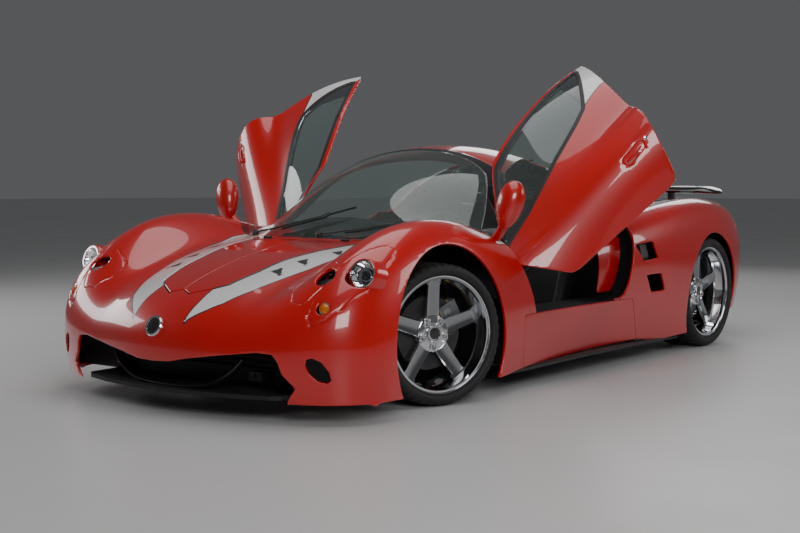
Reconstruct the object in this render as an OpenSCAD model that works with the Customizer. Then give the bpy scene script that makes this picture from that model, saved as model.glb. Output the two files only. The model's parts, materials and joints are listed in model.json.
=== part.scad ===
// Mid-engined two-seat supercar: composite shell on a tub, dihedral doors,
// front and rear lids, steered front wheels.
// Millimetres, +Z up, nose towards -Y, the car's left side towards +X,
// Z = 0 is the ground under the tyres.

/* [Running gear] */
// Distance between the axles
wheelbase = 2660; // [2500:1:2900]
// Outer diameter of the front tyres
tyre_d_f = 648; // [600:1:700]
// Outer diameter of the rear tyres
tyre_d_r = 656; // [600:1:710]
// Section width of the front tyres
tyre_w_f = 235; // [185:1:265]
// Section width of the rear tyres
tyre_w_r = 285; // [225:1:325]
// Flange diameter of the wheels
rim_d = 540; // [440:1:560]
// Half track, from the centreline to the front tyre's middle plane
half_track_f = 794; // [760:1:810]
// Half track at the rear
half_track_r = 803; // [770:1:815]
// Distance from the front tyre's middle plane inboard to the kingpin
kingpin_offset = 62; // [50:1:80]
// Wheel spokes
spokes = 5; // [3:1:8]
// Diameter of the brake discs
disc_d = 340; // [280:1:370]
// Diameter of the wheel spindles
spindle_d = 50; // [36:1:60]

/* [Rest pose] */
// Steering angle the front wheels stand at, to the right
steer_rest = 20; // [0:1:30]
// Angle the doors stand open at
door_open = 62.5; // [0:0.5:65]

/* [Shell] */
// Thickness of the fixed skin panels
skin = 24; // [15:1:30]
// Thickness of the doors below the window
door_t = 85; // [60:1:100]
// Thickness of the window glass
glass_t = 6; // [4:1:8]
// How far the glass sits below the outer skin
glass_in = 6; // [3:1:8]
// Shut gap round the doors and lids
shut = 6; // [5:0.5:9]
// Joint gap between fixed pieces
fit = 0.5; // [0.2:0.1:0.8]
// Radius of the front wheel arches
arch_r_f = 436; // [400:1:445]
// Radius of the rear wheel arches
arch_r_r = 364; // [345:1:375]

/* [Doors and lids] */
// Diameter of the door hinge pins
pin_d = 20; // [12:1:26]
// Diameter of the lid hinge pins
lid_pin_d = 10; // [6:1:14]

/* [Trim] */
// Diameter of the outer headlamps
lamp_d_out = 124; // [90:1:140]
// Diameter of the inner headlamps
lamp_d_in = 88; // [60:1:110]
// Diameter of the indicators
indicator_d = 54; // [40:1:70]
// Diameter of the exhaust tips
exhaust_d = 90; // [60:1:110]
// Span of the rear spoiler
spoiler_w = 1600; // [1200:1:1700]
// Diameter of the steering wheel
wheel_rim_d = 350; // [300:1:380]
// Width of a seat
seat_w = 470; // [400:1:500]
// Thread bore of the towing-eye socket
tow_d = 20; // [12:1:30]

/* [Hidden] */
$fn = 48;
// The model's Y origin is the middle of the overall length.
y0 = 113;
half_wb = wheelbase / 2;
stretch = half_wb - 1330;
// y moves with the axles: the nose and tail keep their shape, the cabin stretches.
function ys(y) = y <= -1330 ? y - stretch : y >= 1330 ? y + stretch : y + y / 1330 * stretch;
kingpin_x = half_track_f - kingpin_offset;
hub_z_f = tyre_d_f / 2;
hub_z_r = tyre_d_r / 2;
hinge_p = [807, ys(-652), 540];
hinge_n = [-0.584, 0.33, 0.742];

// Control net of the shell's left half: sections from the nose to the tail,
// each from the sill's lower edge up the side and over to the centreline.
net = [
 [[935,-1930,90],[900,-2005,90],[850,-2065,90],[790,-2110,90],[710,-2150,90],[610,-2185,90],[510,-2215,90],[420,-2235,90],[320,-2255,90],[210,-2272,90],[105,-2282,90],[0,-2285,90]],
 [[945,-1860,90],[940,-1960,210],[905,-2055,260],[835,-2125,280],[740,-2175,290],[630,-2215,290],[520,-2250,285],[425,-2275,280],[320,-2300,275],[210,-2322,270],[105,-2336,265],[0,-2340,262]],
 [[952,-1780,90],[955,-1880,230],[940,-1985,350],[880,-2075,430],[780,-2135,455],[660,-2180,440],[530,-2215,427],[420,-2240,423],[310,-2270,425],[200,-2295,425],[100,-2310,425],[0,-2315,425]],
 [[958,-1720,90],[962,-1800,240],[955,-1890,400],[910,-1975,535],[825,-2020,600],[710,-2045,600],[575,-2065,549],[455,-2080,507],[335,-2110,527],[205,-2140,532],[100,-2155,532],[0,-2160,532]],
 [[960,-1660,90],[966,-1710,240],[962,-1770,420],[930,-1815,590],[865,-1840,700],[740,-1855,735],[600,-1870,654],[480,-1880,572],[360,-1900,602],[230,-1920,612],[115,-1930,614],[0,-1935,614]],
 [[960,-1570,90],[968,-1590,240],[966,-1600,430],[940,-1610,635],[880,-1615,778],[755,-1620,848],[620,-1625,768],[500,-1630,645],[400,-1640,674],[265,-1650,684],[130,-1655,686],[0,-1655,686]],
 [[960,-1367,90],[968,-1367,240],[966,-1367,430],[942,-1367,660],[885,-1367,805],[765,-1367,870],[630,-1367,792],[525,-1367,689],[440,-1367,706],[300,-1367,716],[150,-1367,719],[0,-1367,719]],
 [[955,-1140,90],[962,-1140,240],[960,-1140,430],[935,-1140,645],[882,-1140,785],[775,-1140,855],[645,-1140,785],[555,-1140,710],[470,-1140,722],[330,-1140,735],[170,-1140,742],[0,-1140,744]],
 [[940,-910,90],[945,-910,240],[942,-910,410],[922,-910,580],[875,-910,712],[785,-910,785],[685,-910,765],[620,-910,745],[535,-910,790],[395,-910,838],[200,-910,868],[0,-910,878]],
 [[905,-680,100],[915,-680,240],[918,-680,400],[905,-680,530],[862,-680,635],[795,-680,700],[735,-680,735],[680,-680,800],[585,-680,910],[440,-680,998],[230,-680,1048],[0,-680,1062]],
 [[875,-420,110],[892,-420,250],[900,-420,385],[895,-420,515],[862,-420,620],[805,-420,690],[748,-420,750],[695,-420,855],[605,-420,992],[455,-420,1100],[240,-420,1162],[0,-420,1178]],
 [[865,-120,115],[892,-120,250],[915,-120,385],[925,-120,530],[895,-120,660],[820,-120,728],[755,-120,775],[700,-120,870],[610,-120,1000],[455,-120,1118],[240,-120,1192],[0,-120,1212]],
 [[865,180,115],[898,180,250],[935,180,385],[962,180,550],[935,180,700],[840,180,770],[762,180,780],[700,180,855],[605,180,975],[445,180,1098],[240,180,1172],[0,180,1194]],
 [[885,450,110],[925,450,250],[962,450,400],[985,450,585],[945,450,745],[850,450,810],[765,450,790],[695,450,830],[595,450,925],[435,450,1035],[230,450,1108],[0,450,1130]],
 [[915,800,95],[955,800,250],[982,800,420],[990,800,630],[945,800,805],[845,800,872],[745,800,835],[665,800,825],[565,800,870],[410,800,945],[220,800,1005],[0,800,1025]],
 [[935,1100,95],[965,1100,250],[985,1100,420],[986,1100,645],[935,1100,832],[835,1100,898],[735,1100,865],[650,1100,845],[550,1100,865],[400,1100,900],[210,1100,935],[0,1100,948]],
 [[940,1333,120],[965,1333,250],[980,1333,420],[978,1333,655],[925,1333,842],[825,1333,903],[725,1333,880],[640,1333,865],[540,1333,868],[400,1333,880],[200,1333,895],[0,1333,900]],
 [[930,1580,160],[950,1580,280],[962,1580,430],[960,1580,645],[910,1580,820],[815,1580,884],[715,1580,880],[625,1580,875],[525,1580,875],[385,1580,878],[200,1580,882],[0,1580,884]],
 [[895,1770,195],[915,1780,300],[928,1790,440],[925,1800,625],[880,1810,778],[795,1820,846],[700,1830,868],[615,1840,872],[515,1850,874],[375,1860,876],[195,1865,878],[0,1865,880]],
 [[850,1885,210],[865,1905,310],[875,1925,440],[865,1945,600],[825,1960,718],[755,1975,788],[670,1990,835],[590,2005,862],[500,2020,878],[370,2035,888],[190,2045,892],[0,2050,895]],
 [[805,1955,215],[805,1985,320],[800,2010,440],[785,2030,560],[745,2050,640],[680,2065,685],[600,2080,715],[520,2090,735],[440,2100,750],[320,2110,760],[165,2115,765],[0,2115,768]],
 [[770,1960,225],[745,1995,260],[720,2020,330],[690,2040,400],[650,2055,450],[590,2070,480],[520,2080,500],[450,2090,510],[375,2095,515],[270,2100,520],[140,2105,522],[0,2105,524]]
];
rows_n = len(net);
cols_n = len(net[0]);
// One coordinate of the net, with a phantom row at each end and a phantom
// column outside the sill and across the centreline.
function coord(k) = let (m = [for (r = net) [for (p = r) k == 1 ? ys(p[1]) : p[k]]],
    sgn = k == 0 ? -1 : 1,
    c = [for (r = m) concat([2 * r[0] - r[1]], r, [sgn * r[cols_n - 2]])])
    concat([2 * c[0] - c[1]], c, [2 * c[rows_n - 1] - c[rows_n - 2]]);
// Uniform cubic B-spline weights and their slopes over n control points.
function w3(f) = [pow(1 - f, 3), 3*f*f*f - 6*f*f + 4, -3*f*f*f + 3*f*f + 3*f + 1, f*f*f] / 6;
function d3(f) = [-(1 - f) * (1 - f), 3*f*f - 4*f, -3*f*f + 2*f + 1, f*f] / 2;
function weights(n, steps, slope) = [for (s = [0:steps]) let (t = s / steps * (n - 1),
    i = min(floor(t), n - 2), w = slope ? d3(t - i) : w3(t - i))
    [for (k = [0:n + 1]) k >= i && k <= i + 3 ? w[k - i] : 0]];
function transpose(m) = [for (j = [0:len(m[0]) - 1]) [for (i = [0:len(m) - 1]) m[i][j]]];
cx = coord(0);
cy = coord(1);
cz = coord(2);
// Points and their slopes along and across, at k grid steps per net interval.
function mesh(k) = let (a = (rows_n - 1) * k, b = (cols_n - 1) * k,
    wv = weights(rows_n, a, false), dv = weights(rows_n, a, true),
    wu = transpose(weights(cols_n, b, false)), du = transpose(weights(cols_n, b, true)))
    [[for (c = [cx, cy, cz]) wv * c * wu], [for (c = [cx, cy, cz]) dv * c * wu], [for (c = [cx, cy, cz]) wv * c * du]];
fine = mesh(2);
coarse = mesh(1);
function unit(v) = v / norm(v);
// Grid of the shell at depth t below the outer skin, from left sill to right sill.
function skin_grid(t, q) = let (nu = len(q[0][0][0]) - 1) [for (i = [0:len(q[0][0]) - 1]) let (half = [for (j = [0:nu])
    let (n = unit(cross([for (c = q[2]) c[i][j]], [for (c = q[1]) c[i][j]])),
         p = [for (c = q[0]) c[i][j]] + n * t) j == nu ? [0, p.y, p.z] : p])
    concat(half, [for (j = [nu - 1:-1:0]) [-half[j].x, half[j].y, half[j].z]])];
function flat(l) = [for (a = l) each a];

// The shell as a solid, t inside the outer skin, carried down to z_low.
module body(t, z_low = 20) {
    // The outer skin and the glass follow the finer grid; what is deeper is coarse.
    q = abs(t) > skin / 2 ? coarse : fine;
    g = skin_grid(t, q);
    nv = len(g) - 1;
    m = len(g[0]);
    nu = (m - 1) / 2;
    k = (nv + 1) * m;
    pts = concat(flat(g), [for (r = g) for (p = r) [p.x, p.y, z_low]]);
    function id(i, j) = i * m + j;
    function low(i, j) = k + i * m + j;
    faces = concat(
        [for (i = [0:nv - 1]) for (j = [0:m - 2]) for (q = j < nu
            ? [[id(i, j), id(i, j + 1), id(i + 1, j)], [id(i, j + 1), id(i + 1, j + 1), id(i + 1, j)]]
            : [[id(i, j), id(i, j + 1), id(i + 1, j + 1)], [id(i, j), id(i + 1, j + 1), id(i + 1, j)]]) q],
        // side walls below the sills
        [for (i = [0:nv - 1]) for (q = [[id(i, 0), id(i + 1, 0), low(i, 0)], [id(i + 1, 0), low(i + 1, 0), low(i, 0)],
            [id(i + 1, m - 1), id(i, m - 1), low(i, m - 1)], [id(i + 1, m - 1), low(i, m - 1), low(i + 1, m - 1)]]) q],
        // walls below the nose and tail edges
        [for (j = [0:m - 2]) for (q = [[id(0, j + 1), id(0, j), low(0, j)], [id(0, j + 1), low(0, j), low(0, j + 1)],
            [id(nv, j), id(nv, j + 1), low(nv, j)], [id(nv, j + 1), low(nv, j + 1), low(nv, j)]]) q],
        // flat bottom
        [for (i = [0:nv - 1]) for (q = [[low(i, 0), low(i + 1, 0), low(i, m - 1)], [low(i + 1, 0), low(i + 1, m - 1), low(i, m - 1)]]) q],
        [for (e = [[0, 1], [nv, -1]]) for (j = [0:nu - 1]) for (q = [[low(e[0], j), low(e[0], m - 1 - j), low(e[0], j + 1)],
            [low(e[0], j + 1), low(e[0], m - 1 - j), low(e[0], m - 2 - j)]]) if (q[1] != q[2] && q[0] != q[2]) e[1] > 0 ? q : [q[0], q[2], q[1]]]);
    polyhedron(pts, faces, convexity = 8);
}

// Keeps a boolean tree of shell pieces as one solid.
module one() resize([0, 0, 0]) children();
module both() { children(); mirror([1, 0, 0]) children(); }
// Prism of a (y, z) outline between two x planes; of an (x, y) outline between two heights; of an (x, z) outline.
module side_cut(p, x0 = 0, x1 = 1300, g = 0) translate([x0, 0, 0]) rotate([90, 0, 90]) linear_extrude(x1 - x0) offset(delta = g) polygon([for (q = p) [ys(q.x), q.y]]);
module plan_cut(p, z0 = 0, z1 = 1500, g = 0) translate([0, 0, z0]) linear_extrude(z1 - z0) offset(delta = g) polygon([for (q = p) [q.x, ys(q.y)]]);
module front_cut(p, ya, yb, g = 0) translate([0, yb, 0]) rotate([90, 0, 0]) linear_extrude(yb - ya) offset(delta = g) polygon(p);
module box(x0, x1, ya, yb, z0, z1) translate([x0, ya, z0]) cube([x1 - x0, yb - ya, z1 - z0]);
module sbox(x0, x1, ya, yb, z0, z1) box(x0, x1, ys(ya), ys(yb), z0, z1);
module shell(a, b) difference() { body(a); body(b, -60); }
function mirrored(p) = concat(p, [for (i = [len(p) - 1:-1:0]) if (p[i].x != 0) [-p[i].x, p[i].y]]);
// Turn about the door's hinge line.
module swing(a) translate(hinge_p) rotate(a, hinge_n) translate(-hinge_p) children();
// Points a part's +Z along d, at p.
module aim(p, d) translate(p) rotate([0, acos(d.z / norm(d)), atan2(d.y, d.x)]) children();

// Outlines
door_side = [[405,1300],[400,1100],[372,970],[345,800],[338,750],[300,600],[258,430],[235,395],[200,383],[-400,368],[-440,380],[-600,570],[-650,640],[-700,700],[-790,745],[-820,1300]];
door_plan = [[262,500],[272,385],[425,0],[548,-340],[655,-460],[722,-570],[768,-690],[800,-820],[1300,-950],[1300,500]];
window_side = [[-900,660],[-640,676],[-400,742],[-105,852],[90,915],[180,948],[345,1112],[360,1300],[-900,1300]];
window_plan = [[318,420],[330,345],[468,0],[590,-340],[690,-460],[752,-570],[1300,-600],[1300,420]];
glass_plan = mirrored([[0,-1245],[200,-1225],[420,-1160],[600,-1060],[695,-960],[712,-900],[690,-800],[625,-650],[560,-535],[500,-460],[430,-420],[300,-385],[150,-360],[0,-352]]);
frame_plan = mirrored([[0,-1275],[210,-1255],[435,-1190],[620,-1088],[735,-985],[775,-905],[800,-840],[760,-700],[700,-560],[640,-420],[600,-330],[400,-335],[200,-315],[0,-305]]);
roof_plan = mirrored([[0,-460],[660,-460],[580,-150],[345,400],[345,448],[0,448]]);
hood_plan = mirrored([[0,-2124],[62,-2152],[160,-2092],[203,-2050],[240,-1900],[252,-1750],[302,-1540],[345,-1360],[356,-1304],[0,-1304]]);
cover_plan = mirrored([[0,464],[330,464],[500,600],[590,850],[612,1200],[600,1540],[545,1660],[0,1675]]);
tail_plan = mirrored([[0,1688],[640,1688],[690,1790],[1300,1790],[1300,2500],[0,2500]]);
sill_side = [[-748,362],[-748,0],[470,0],[470,128],[335,362]];
nose_mouth = mirrored([[0,238],[100,242],[200,262],[370,286],[530,305],[600,300],[622,270],[640,215],[690,160],[660,118],[622,40],[622,-20],[0,-20]]);
fog_hole = [[655,215],[700,222],[755,262],[768,285],[740,296],[672,288],[650,255]];
lower_side = [[-2500,-100],[-2500,90],[-1760,90],[-1010,84],[-760,104],[470,122],[700,96],[1050,108],[1700,200],[2500,215],[2500,-100]];

module window_zone(g = 0) intersection() { side_cut(window_side, 0, 1300, g); plan_cut(window_plan, 300, 1500, g); }
fender_end = [[-560,200],[-620,370],[-642,440],[-668,500],[-712,602],[-758,700],[-800,760],[-820,1300],[300,1300],[300,200]];
module door_zone(g) intersection() { side_cut(door_side, 0, 1300, g); plan_cut(door_plan, 0, 1500, g); }
module arch_cut(y, z, r, g = 0) translate([0, y, z]) rotate([0, 90, 0]) cylinder(r = r + g, h = 1300, $fn = 72);
module arches(g = 0) { arch_cut(-half_wb - 52, 300, arch_r_f, g); arch_cut(half_wb + 5, 322, arch_r_r, g); }
module wheel_space(x_in = 470) intersection() { both() arches(); union() { box(x_in, 1300, -2600, 2600, -50, 1200); box(-1300, -x_in, -2600, 2600, -50, 1200); } }

lamp_out = [853, -1922 - stretch, 631];
lamp_in = [701, -1919 - stretch, 595];
indicator = [778, -2081 - stretch, 494];
lamp_dir = [0.12, -0.95, 0.30];
ind_dir = [0.10, -0.98, 0.18];

// Panels
// Room the door's front end takes as it swings, with the shut gap all round.
module door_sweep() for (k = [0:14]) swing(-door_open * k / 14) intersection() {
    difference() { body(-13); body(door_t + shut + 3, -60); }
    door_zone(shut + 3);
    sbox(560, 1100, -900, -400, 300, 1000);
}
module arm_sweep() for (k = [0:8]) swing(-door_open * k / 8) {
    aim(hinge_p, hinge_n) translate([0, 0, -hinge_len / 4]) cylinder(d = pin_d + 18 + 2 * shut, h = hinge_len / 2, $fn = 16);
    hull() { translate(hinge_p) sphere(d = pin_d + 12 + 2 * shut, $fn = 10); translate([862, hinge_p.y + 103, 540]) sphere(d = 26 + 2 * shut, $fn = 10); }
}
module front_clip() color("#c4101c") one() difference() {
    intersection() { shell(0, skin); box(-1200, 1200, -2600, ys(-560), -100, 1300); }
    both() side_cut(fender_end, 600, 1300);
    both() door_zone(shut);
    plan_cut(frame_plan, 300, 1500, fit);
    plan_cut(hood_plan, 300, 1500, shut);
    sbox(-362, 362, -1312, -1294, 300, 1500);
    lid_room();
    both() side_cut(sill_side, 500, 1300, fit);
    both() side_cut(lower_side);
    both() door_sweep();
    both() arches();
    front_cut(nose_mouth, -2700, ys(-1500));
    both() front_cut(fog_hole, -2700, ys(-1500));
    both() aim(lamp_out, lamp_dir) translate([0, 0, -150]) cylinder(d = lamp_d_out + 2 * fit, h = 300);
    both() aim(lamp_in, lamp_dir) translate([0, 0, -150]) cylinder(d = lamp_d_in + 2 * fit, h = 300);
    both() aim(indicator, ind_dir) translate([0, 0, -100]) cylinder(d = indicator_d + 2 * fit, h = 200);
}
module hood() color("#c4101c") one() {
    difference() { intersection() { shell(0, skin); plan_cut(hood_plan, 300, 1500); } lid_room(); }
    both() hood_knuckle();
}
module windscreen_frame() color("#0c0c0e") one() difference() {
    intersection() { shell(0, skin); plan_cut(frame_plan, 300, 1500); }
    plan_cut(glass_plan, 300, 1500, fit);
    both() door_zone(shut);
    both() door_sweep();
}
module windscreen() color("#6f8078") one() intersection() { shell(glass_in, glass_in + glass_t); plan_cut(glass_plan, 300, 1500); }
module roof_panel() color("#c4101c") one() difference() {
    intersection() { shell(0, skin); plan_cut(roof_plan, 300, 1500); }
    plan_cut(frame_plan, 300, 1500, fit);
    both() door_zone(shut);
    plan_cut(cover_plan, 300, 1500, 2 * shut);
    lid_room();
}
module side_sills() color("#c4101c") one() both() difference() {
    intersection() { shell(0, skin); side_cut(sill_side, 500, 1300); }
    side_cut(lower_side);
    door_zone(shut);
    arches();
}
intake_up = [[336,655],[526,669],[565,575],[409,564]];
intake_low = [[447,485],[610,486],[675,386],[521,385]];
module rear_quarter() one() difference() {
    intersection() { shell(0, skin); sbox(0, 1300, 150, 1795, -100, 1400); }
    door_zone(shut);
    plan_cut(roof_plan, 300, 1500, fit);
    plan_cut(cover_plan, 300, 1500, 2 * shut);
    lid_room();
    plan_cut(tail_plan, -50, 1500, fit);
    side_cut(sill_side, 500, 1300, fit);
    side_cut(lower_side);
    side_cut(intake_up, 700, 1300);
    side_cut(intake_low, 700, 1300);
    arches();
}
module rear_quarter_left() color("#c4101c") rear_quarter();
module rear_quarter_right() color("#c4101c") mirror([1, 0, 0]) rear_quarter();
lamp_tail_x = [430, 590];
module tail_panel() color("#c4101c") one() difference() {
    intersection() { shell(0, skin); plan_cut(tail_plan, -50, 1500); }
    both() side_cut(lower_side);
    plan_cut(cover_plan, 300, 1500, 2 * shut);
    both() arches();
    both() translate([110, 1500, 330]) rotate([-90, 0, 0]) cylinder(d = exhaust_d + 2 * fit, h = 1500);
    both() for (x = lamp_tail_x) translate([x, 1900, 640]) rotate([-90, 0, 0]) cylinder(d = 110 + 2 * fit, h = 400);
}
module tail_lamps() color("#8c0a10") both() for (x = lamp_tail_x)
    translate([x, ys(x == lamp_tail_x[0] ? 2004 : 1988), 640]) rotate([-90, 0, 0]) cylinder(d = 110, h = 78);
module headlamps() color("#d8dade") both() {
    aim(lamp_out, lamp_dir) translate([0, 0, -70]) cylinder(d = lamp_d_out, h = 74);
    aim(lamp_in, lamp_dir) translate([0, 0, -60]) cylinder(d = lamp_d_in, h = 64);
}
module indicators() color("#e8900c") both() aim(indicator, ind_dir) translate([0, 0, -45]) cylinder(d = indicator_d, h = 50);

// Doors, drawn shut and swung to rest
module door_shut() {
    difference() {
        intersection() {
            union() {
                shell(0, skin + 8);
                intersection() { shell(0, door_t); side_cut([[-900,0],[-900,600],[-640,620],[-400,690],[-105,800],[150,880],[500,960],[500,0]], 300, 1300); }
            }
            door_zone(0);
        }
        window_zone(fit);
    }
    door_arm();
}
module door_glass_shut() intersection() { shell(glass_in, glass_in + glass_t); window_zone(); door_zone(0); }
module door_left() color("#c4101c") swing(-door_open) one() door_shut();
module door_right() color("#c4101c") mirror([1, 0, 0]) swing(-door_open) one() door_shut();
module door_glass_left() color("#56635e") swing(-door_open) one() door_glass_shut();
module door_glass_right() color("#56635e") mirror([1, 0, 0]) swing(-door_open) one() door_glass_shut();
hinge_len = 60;
// Tube on the door round the pin, and its arm out to the door's front frame.
module door_arm() difference() {
    union() {
        aim(hinge_p, hinge_n) translate([0, 0, -hinge_len / 4]) cylinder(d = pin_d + 18, h = hinge_len / 2);
        hull() {
            aim(hinge_p, hinge_n) translate([0, 0, -hinge_len / 4]) cylinder(d = pin_d + 8, h = hinge_len / 2);
            translate([862, hinge_p.y + 103, 540]) sphere(d = 22, $fn = 16);
        }
    }
    aim(hinge_p, hinge_n) translate([0, 0, -hinge_len]) cylinder(d = pin_d + 2 * fit, h = 2 * hinge_len);
}
module door_hinges() color("#2a2c30") both() {
    aim(hinge_p, hinge_n) translate([0, 0, -hinge_len / 2]) cylinder(d = pin_d, h = hinge_len);
    for (s = [-1, 1]) intersection() {
        aim(hinge_p, hinge_n) translate([0, 0, s * (hinge_len / 4 + 8)]) translate([-pin_d / 2 - 6, -10, -7]) cube([pin_d + 12, 130, 14]);
        box(500, 1000, ys(-739.5), 0, 0, 1000);
    }
}

// Lids' hinges: a lug on each lid round a cross pin that the tub carries.
hood_pin = [-1297, 729];
cover_pin = [455, 1117];
module lug(x, p, d, w) translate([x - w / 2, ys(p.x), p.y]) rotate([0, 90, 0]) cylinder(d = d, h = w);
// One lid lug round its pin at x, fixed to the lid's edge at y_edge.
module lid_lug(x, p, y_edge, z_low, z_high) difference() {
    hull() { lug(x, p, lid_pin_d + 8, 20); sbox(x - 10, x + 10, min(y_edge, y_edge + (y_edge < p.x ? -8 : 8)), max(y_edge, y_edge + (y_edge < p.x ? -8 : 8)), z_low, z_high); }
    lug(x, p, lid_pin_d + 2 * fit, 60);
}
module hood_knuckle() lid_lug(250, hood_pin, -1306, 704, 714);
module cover_knuckle() lid_lug(200, cover_pin, 466, 1074, 1086);
module lid_hinges() color("#3a3c40") both() {
    lug(250, hood_pin, lid_pin_d, 50);
    for (s = [-1, 1]) sbox(250 + s * 18 - 6, 250 + s * 18 + 6, -1301, -1293, 640, 732);
    sbox(226, 274, -1301, -1010.5, 630, 640);
    lug(200, cover_pin, lid_pin_d, 50);
    for (s = [-1, 1]) sbox(200 + s * 18 - 6, 200 + s * 18 + 6, 450, 459, 1040, 1119);
    sbox(176, 224, 450, 469.5, 1030, 1040);
}
module lid_room() { both() sbox(222, 278, -1312, -1288, 600, 900); both() sbox(172, 228, 440, 474, 1040.5, 1300); }
module engine_cover() color("#141416") one() {
    difference() {
        intersection() { shell(0, skin); plan_cut(cover_plan, 300, 1500); }
        lid_room();
        for (y = [1010:110:1450]) sbox(-380, 380, y, y + 40, 700, 1200);
        plan_cut(mirrored([[0,540],[270,540],[400,640],[470,850],[440,900],[0,900]]), 300, 1500, fit);
    }
    intersection() { shell(glass_in, glass_in + glass_t); plan_cut(mirrored([[0,540],[270,540],[400,640],[470,850],[440,900],[0,900]]), 300, 1500); }
    both() cover_knuckle();
}

// Structure inside the shell
module tub() color("#1b1c1f") one() difference() {
    intersection() {
        body(skin + fit);
        union() {
            sbox(-740, 740, -1010, 560, 100, 128);
            both() sbox(650, 1000, -745, 500, 110, 355);
            difference() { sbox(-1000, 1000, -1010, -975, 100, 1000); both() sbox(760, 1200, -1200, -900, 0, 320); }
            difference() { sbox(-1000, 1000, 470, 500, 100, 1200); sbox(-300, 300, 400, 600, 800, 1000); }
            both() sbox(640, 1000, -790, -740, 128, 760);
            both() sbox(765, 1000, 430, 500, 128, 900);
            sbox(-130, 130, -1010, 470, 128, 330);
            both() sbox(330, 400, -1990, -1010, 190, 290);
            sbox(-900, 900, -1990, -1960, 120, 700);
            both() sbox(440, 462, -1990, -1010, 128, 900);
            both() sbox(300, 360, 500, 1940, 210, 300);
            both() sbox(600, 622, 500, 1840, 128, 1000);
            difference() { sbox(-1000, 1000, 1830, 1855, 190.5, 900); both() translate([110, 1500, 330]) rotate([-90, 0, 0]) cylinder(d = exhaust_d + 2 * fit, h = 1500); }
        }
    }
    wheel_space();
    both() intersection() { arches(); box(622.5, 1300, 0, 2600, -50, 1200); }
    both() difference() { door_zone(shut + 2); body(door_t + shut, -60); }
    both() { door_sweep(); arm_sweep(); }
    difference() { plan_cut(hood_plan, 300, 1500, shut); body(skin + shut + 2, -60); }
    difference() { plan_cut(cover_plan, 300, 1500, 2 * shut); body(skin + shut + 6, -60); }
    sbox(-460, 460, -1960, -1400, 290, 1000);
    both() sbox(170, 230, 440, 469, 900, 1300);
}
module front_splitter() color("#0b0b0c") {
    difference() {
        plan_cut(mirrored([[0,-2290],[200,-2275],[400,-2235],[560,-2185],[600,-2150],[610,-1960],[0,-1960]]), 100, 118);
        translate([0, 0, 90]) cube([1, 1, 1], center = true);
    }
}
module grille() color("#101012") {
    for (z = [196:24:268]) sbox(-560, 560, -2030, -2010, z, z + 6);
    for (x = [-480, 480]) sbox(x - 8, x + 8, -2030, -1990.5, 118.5, 300);
}
module engine() color("#3a3d42") sbox(-299, 299, 620, 1250, 215, 700);
module gearbox() color("#55585e") sbox(-180, 180, 1250.5, 1700, 240, 520);
module dashboard() color("#16171a") one() difference() {
    hull() { sbox(-700, 700, -974.5, -950, 480, 720); sbox(-680, 680, -974.5, -790, 560, 690); }
    both() door_sweep();
    aim(column_p, column_d) translate([0, 0, -400]) cylinder(d = 44 + 2 * fit, h = 800);
}
module console() color("#1c1d20") sbox(-120, 120, -700, 300, 330.5, 420);
module seat() {
    hull() { sbox(-seat_w / 2, seat_w / 2, -330, 100, 128.5, 200); sbox(-seat_w / 2 + 20, seat_w / 2 - 20, -370, 60, 190, 250); }
    hull() { sbox(-seat_w / 2 + 20, seat_w / 2 - 20, 110, 180, 200, 240); sbox(-seat_w / 2 + 60, seat_w / 2 - 60, 330, 390, 760, 800); }
    hull() { sbox(-seat_w / 2, seat_w / 2, 60, 160, 160, 200); sbox(-seat_w / 2 + 20, seat_w / 2 - 20, 100, 200, 200, 240); }
}
module seats() color("#17181b") for (x = [-395, 395]) translate([x, 0, 0]) one() seat();
column_p = [395, ys(-760), 640];
column_d = [0, 0.90, 0.34];
module steering_column() color("#26282c") aim(column_p, column_d) translate([0, 0, -120]) cylinder(d = 44, h = 240);
module steering_wheel() color("#1a1b1e") aim(column_p + unit(column_d) * 120.5, column_d) {
    rotate_extrude() translate([wheel_rim_d / 2 - 15, 20]) circle(d = 30, $fn = 24);
    cylinder(d = 90, h = 30);
    for (a = [0, 90, 180]) rotate(a) translate([-16, 0, 8]) cube([32, wheel_rim_d / 2 - 15, 10]);
}
module rear_spoiler() color("#0c0c0e") {
    w = spoiler_w / 2;
    plan_cut(mirrored([[0,1720],[w * 0.6,1712],[w * 0.92,1700],[w,1740],[w * 0.97,1850],[w * 0.7,1925],[0,1956]]), 915, 945);
    both() one() difference() { sbox(w * 0.55 - 12, w * 0.55 + 12, 1760, 1860, 850, 914.5); body(-fit); }
}
module mirrors() color("#c4101c") both() one() difference() {
    union() {
        hull() for (q = [[905,-868,948,62],[925,-885,930,66],[935,-905,870,60],[912,-900,830,46]]) translate([q[0], ys(q[1]), q[2]]) scale([1, 0.75, 1]) sphere(r = q[3], $fn = 16);
        hull() { translate([895, ys(-890), 810]) sphere(d = 44, $fn = 12); translate([838, ys(-860), 745]) sphere(d = 60, $fn = 12); }
    }
    body(-1);
    door_sweep();
    door_zone(shut);
}
module wipers() color("#0a0a0b") one() for (q = [[[60,-1262],[430,-985]], [[-420,-1200],[40,-960]]]) intersection() {
    shell(-16, -fit);
    hull() for (e = q) translate([e.x, ys(e.y), 500]) cylinder(d = 12, h = 700, $fn = 12);
}
module exhausts() color("#9a9ca0") for (x = [-110, 110]) translate([x, ys(1700.5), 330]) rotate([-90, 0, 0]) difference() { cylinder(d = exhaust_d, h = 380); translate([0, 0, 20]) cylinder(d = exhaust_d - 8, h = 380); }
module diffuser() color("#0e0e10") {
    sbox(-600, 600, 1640, 2010, 178, 190);
    for (x = [-400, -200, 0, 200, 400]) sbox(x - 6, x + 6, 1700, 2000, 120, 177.5);
}
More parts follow.
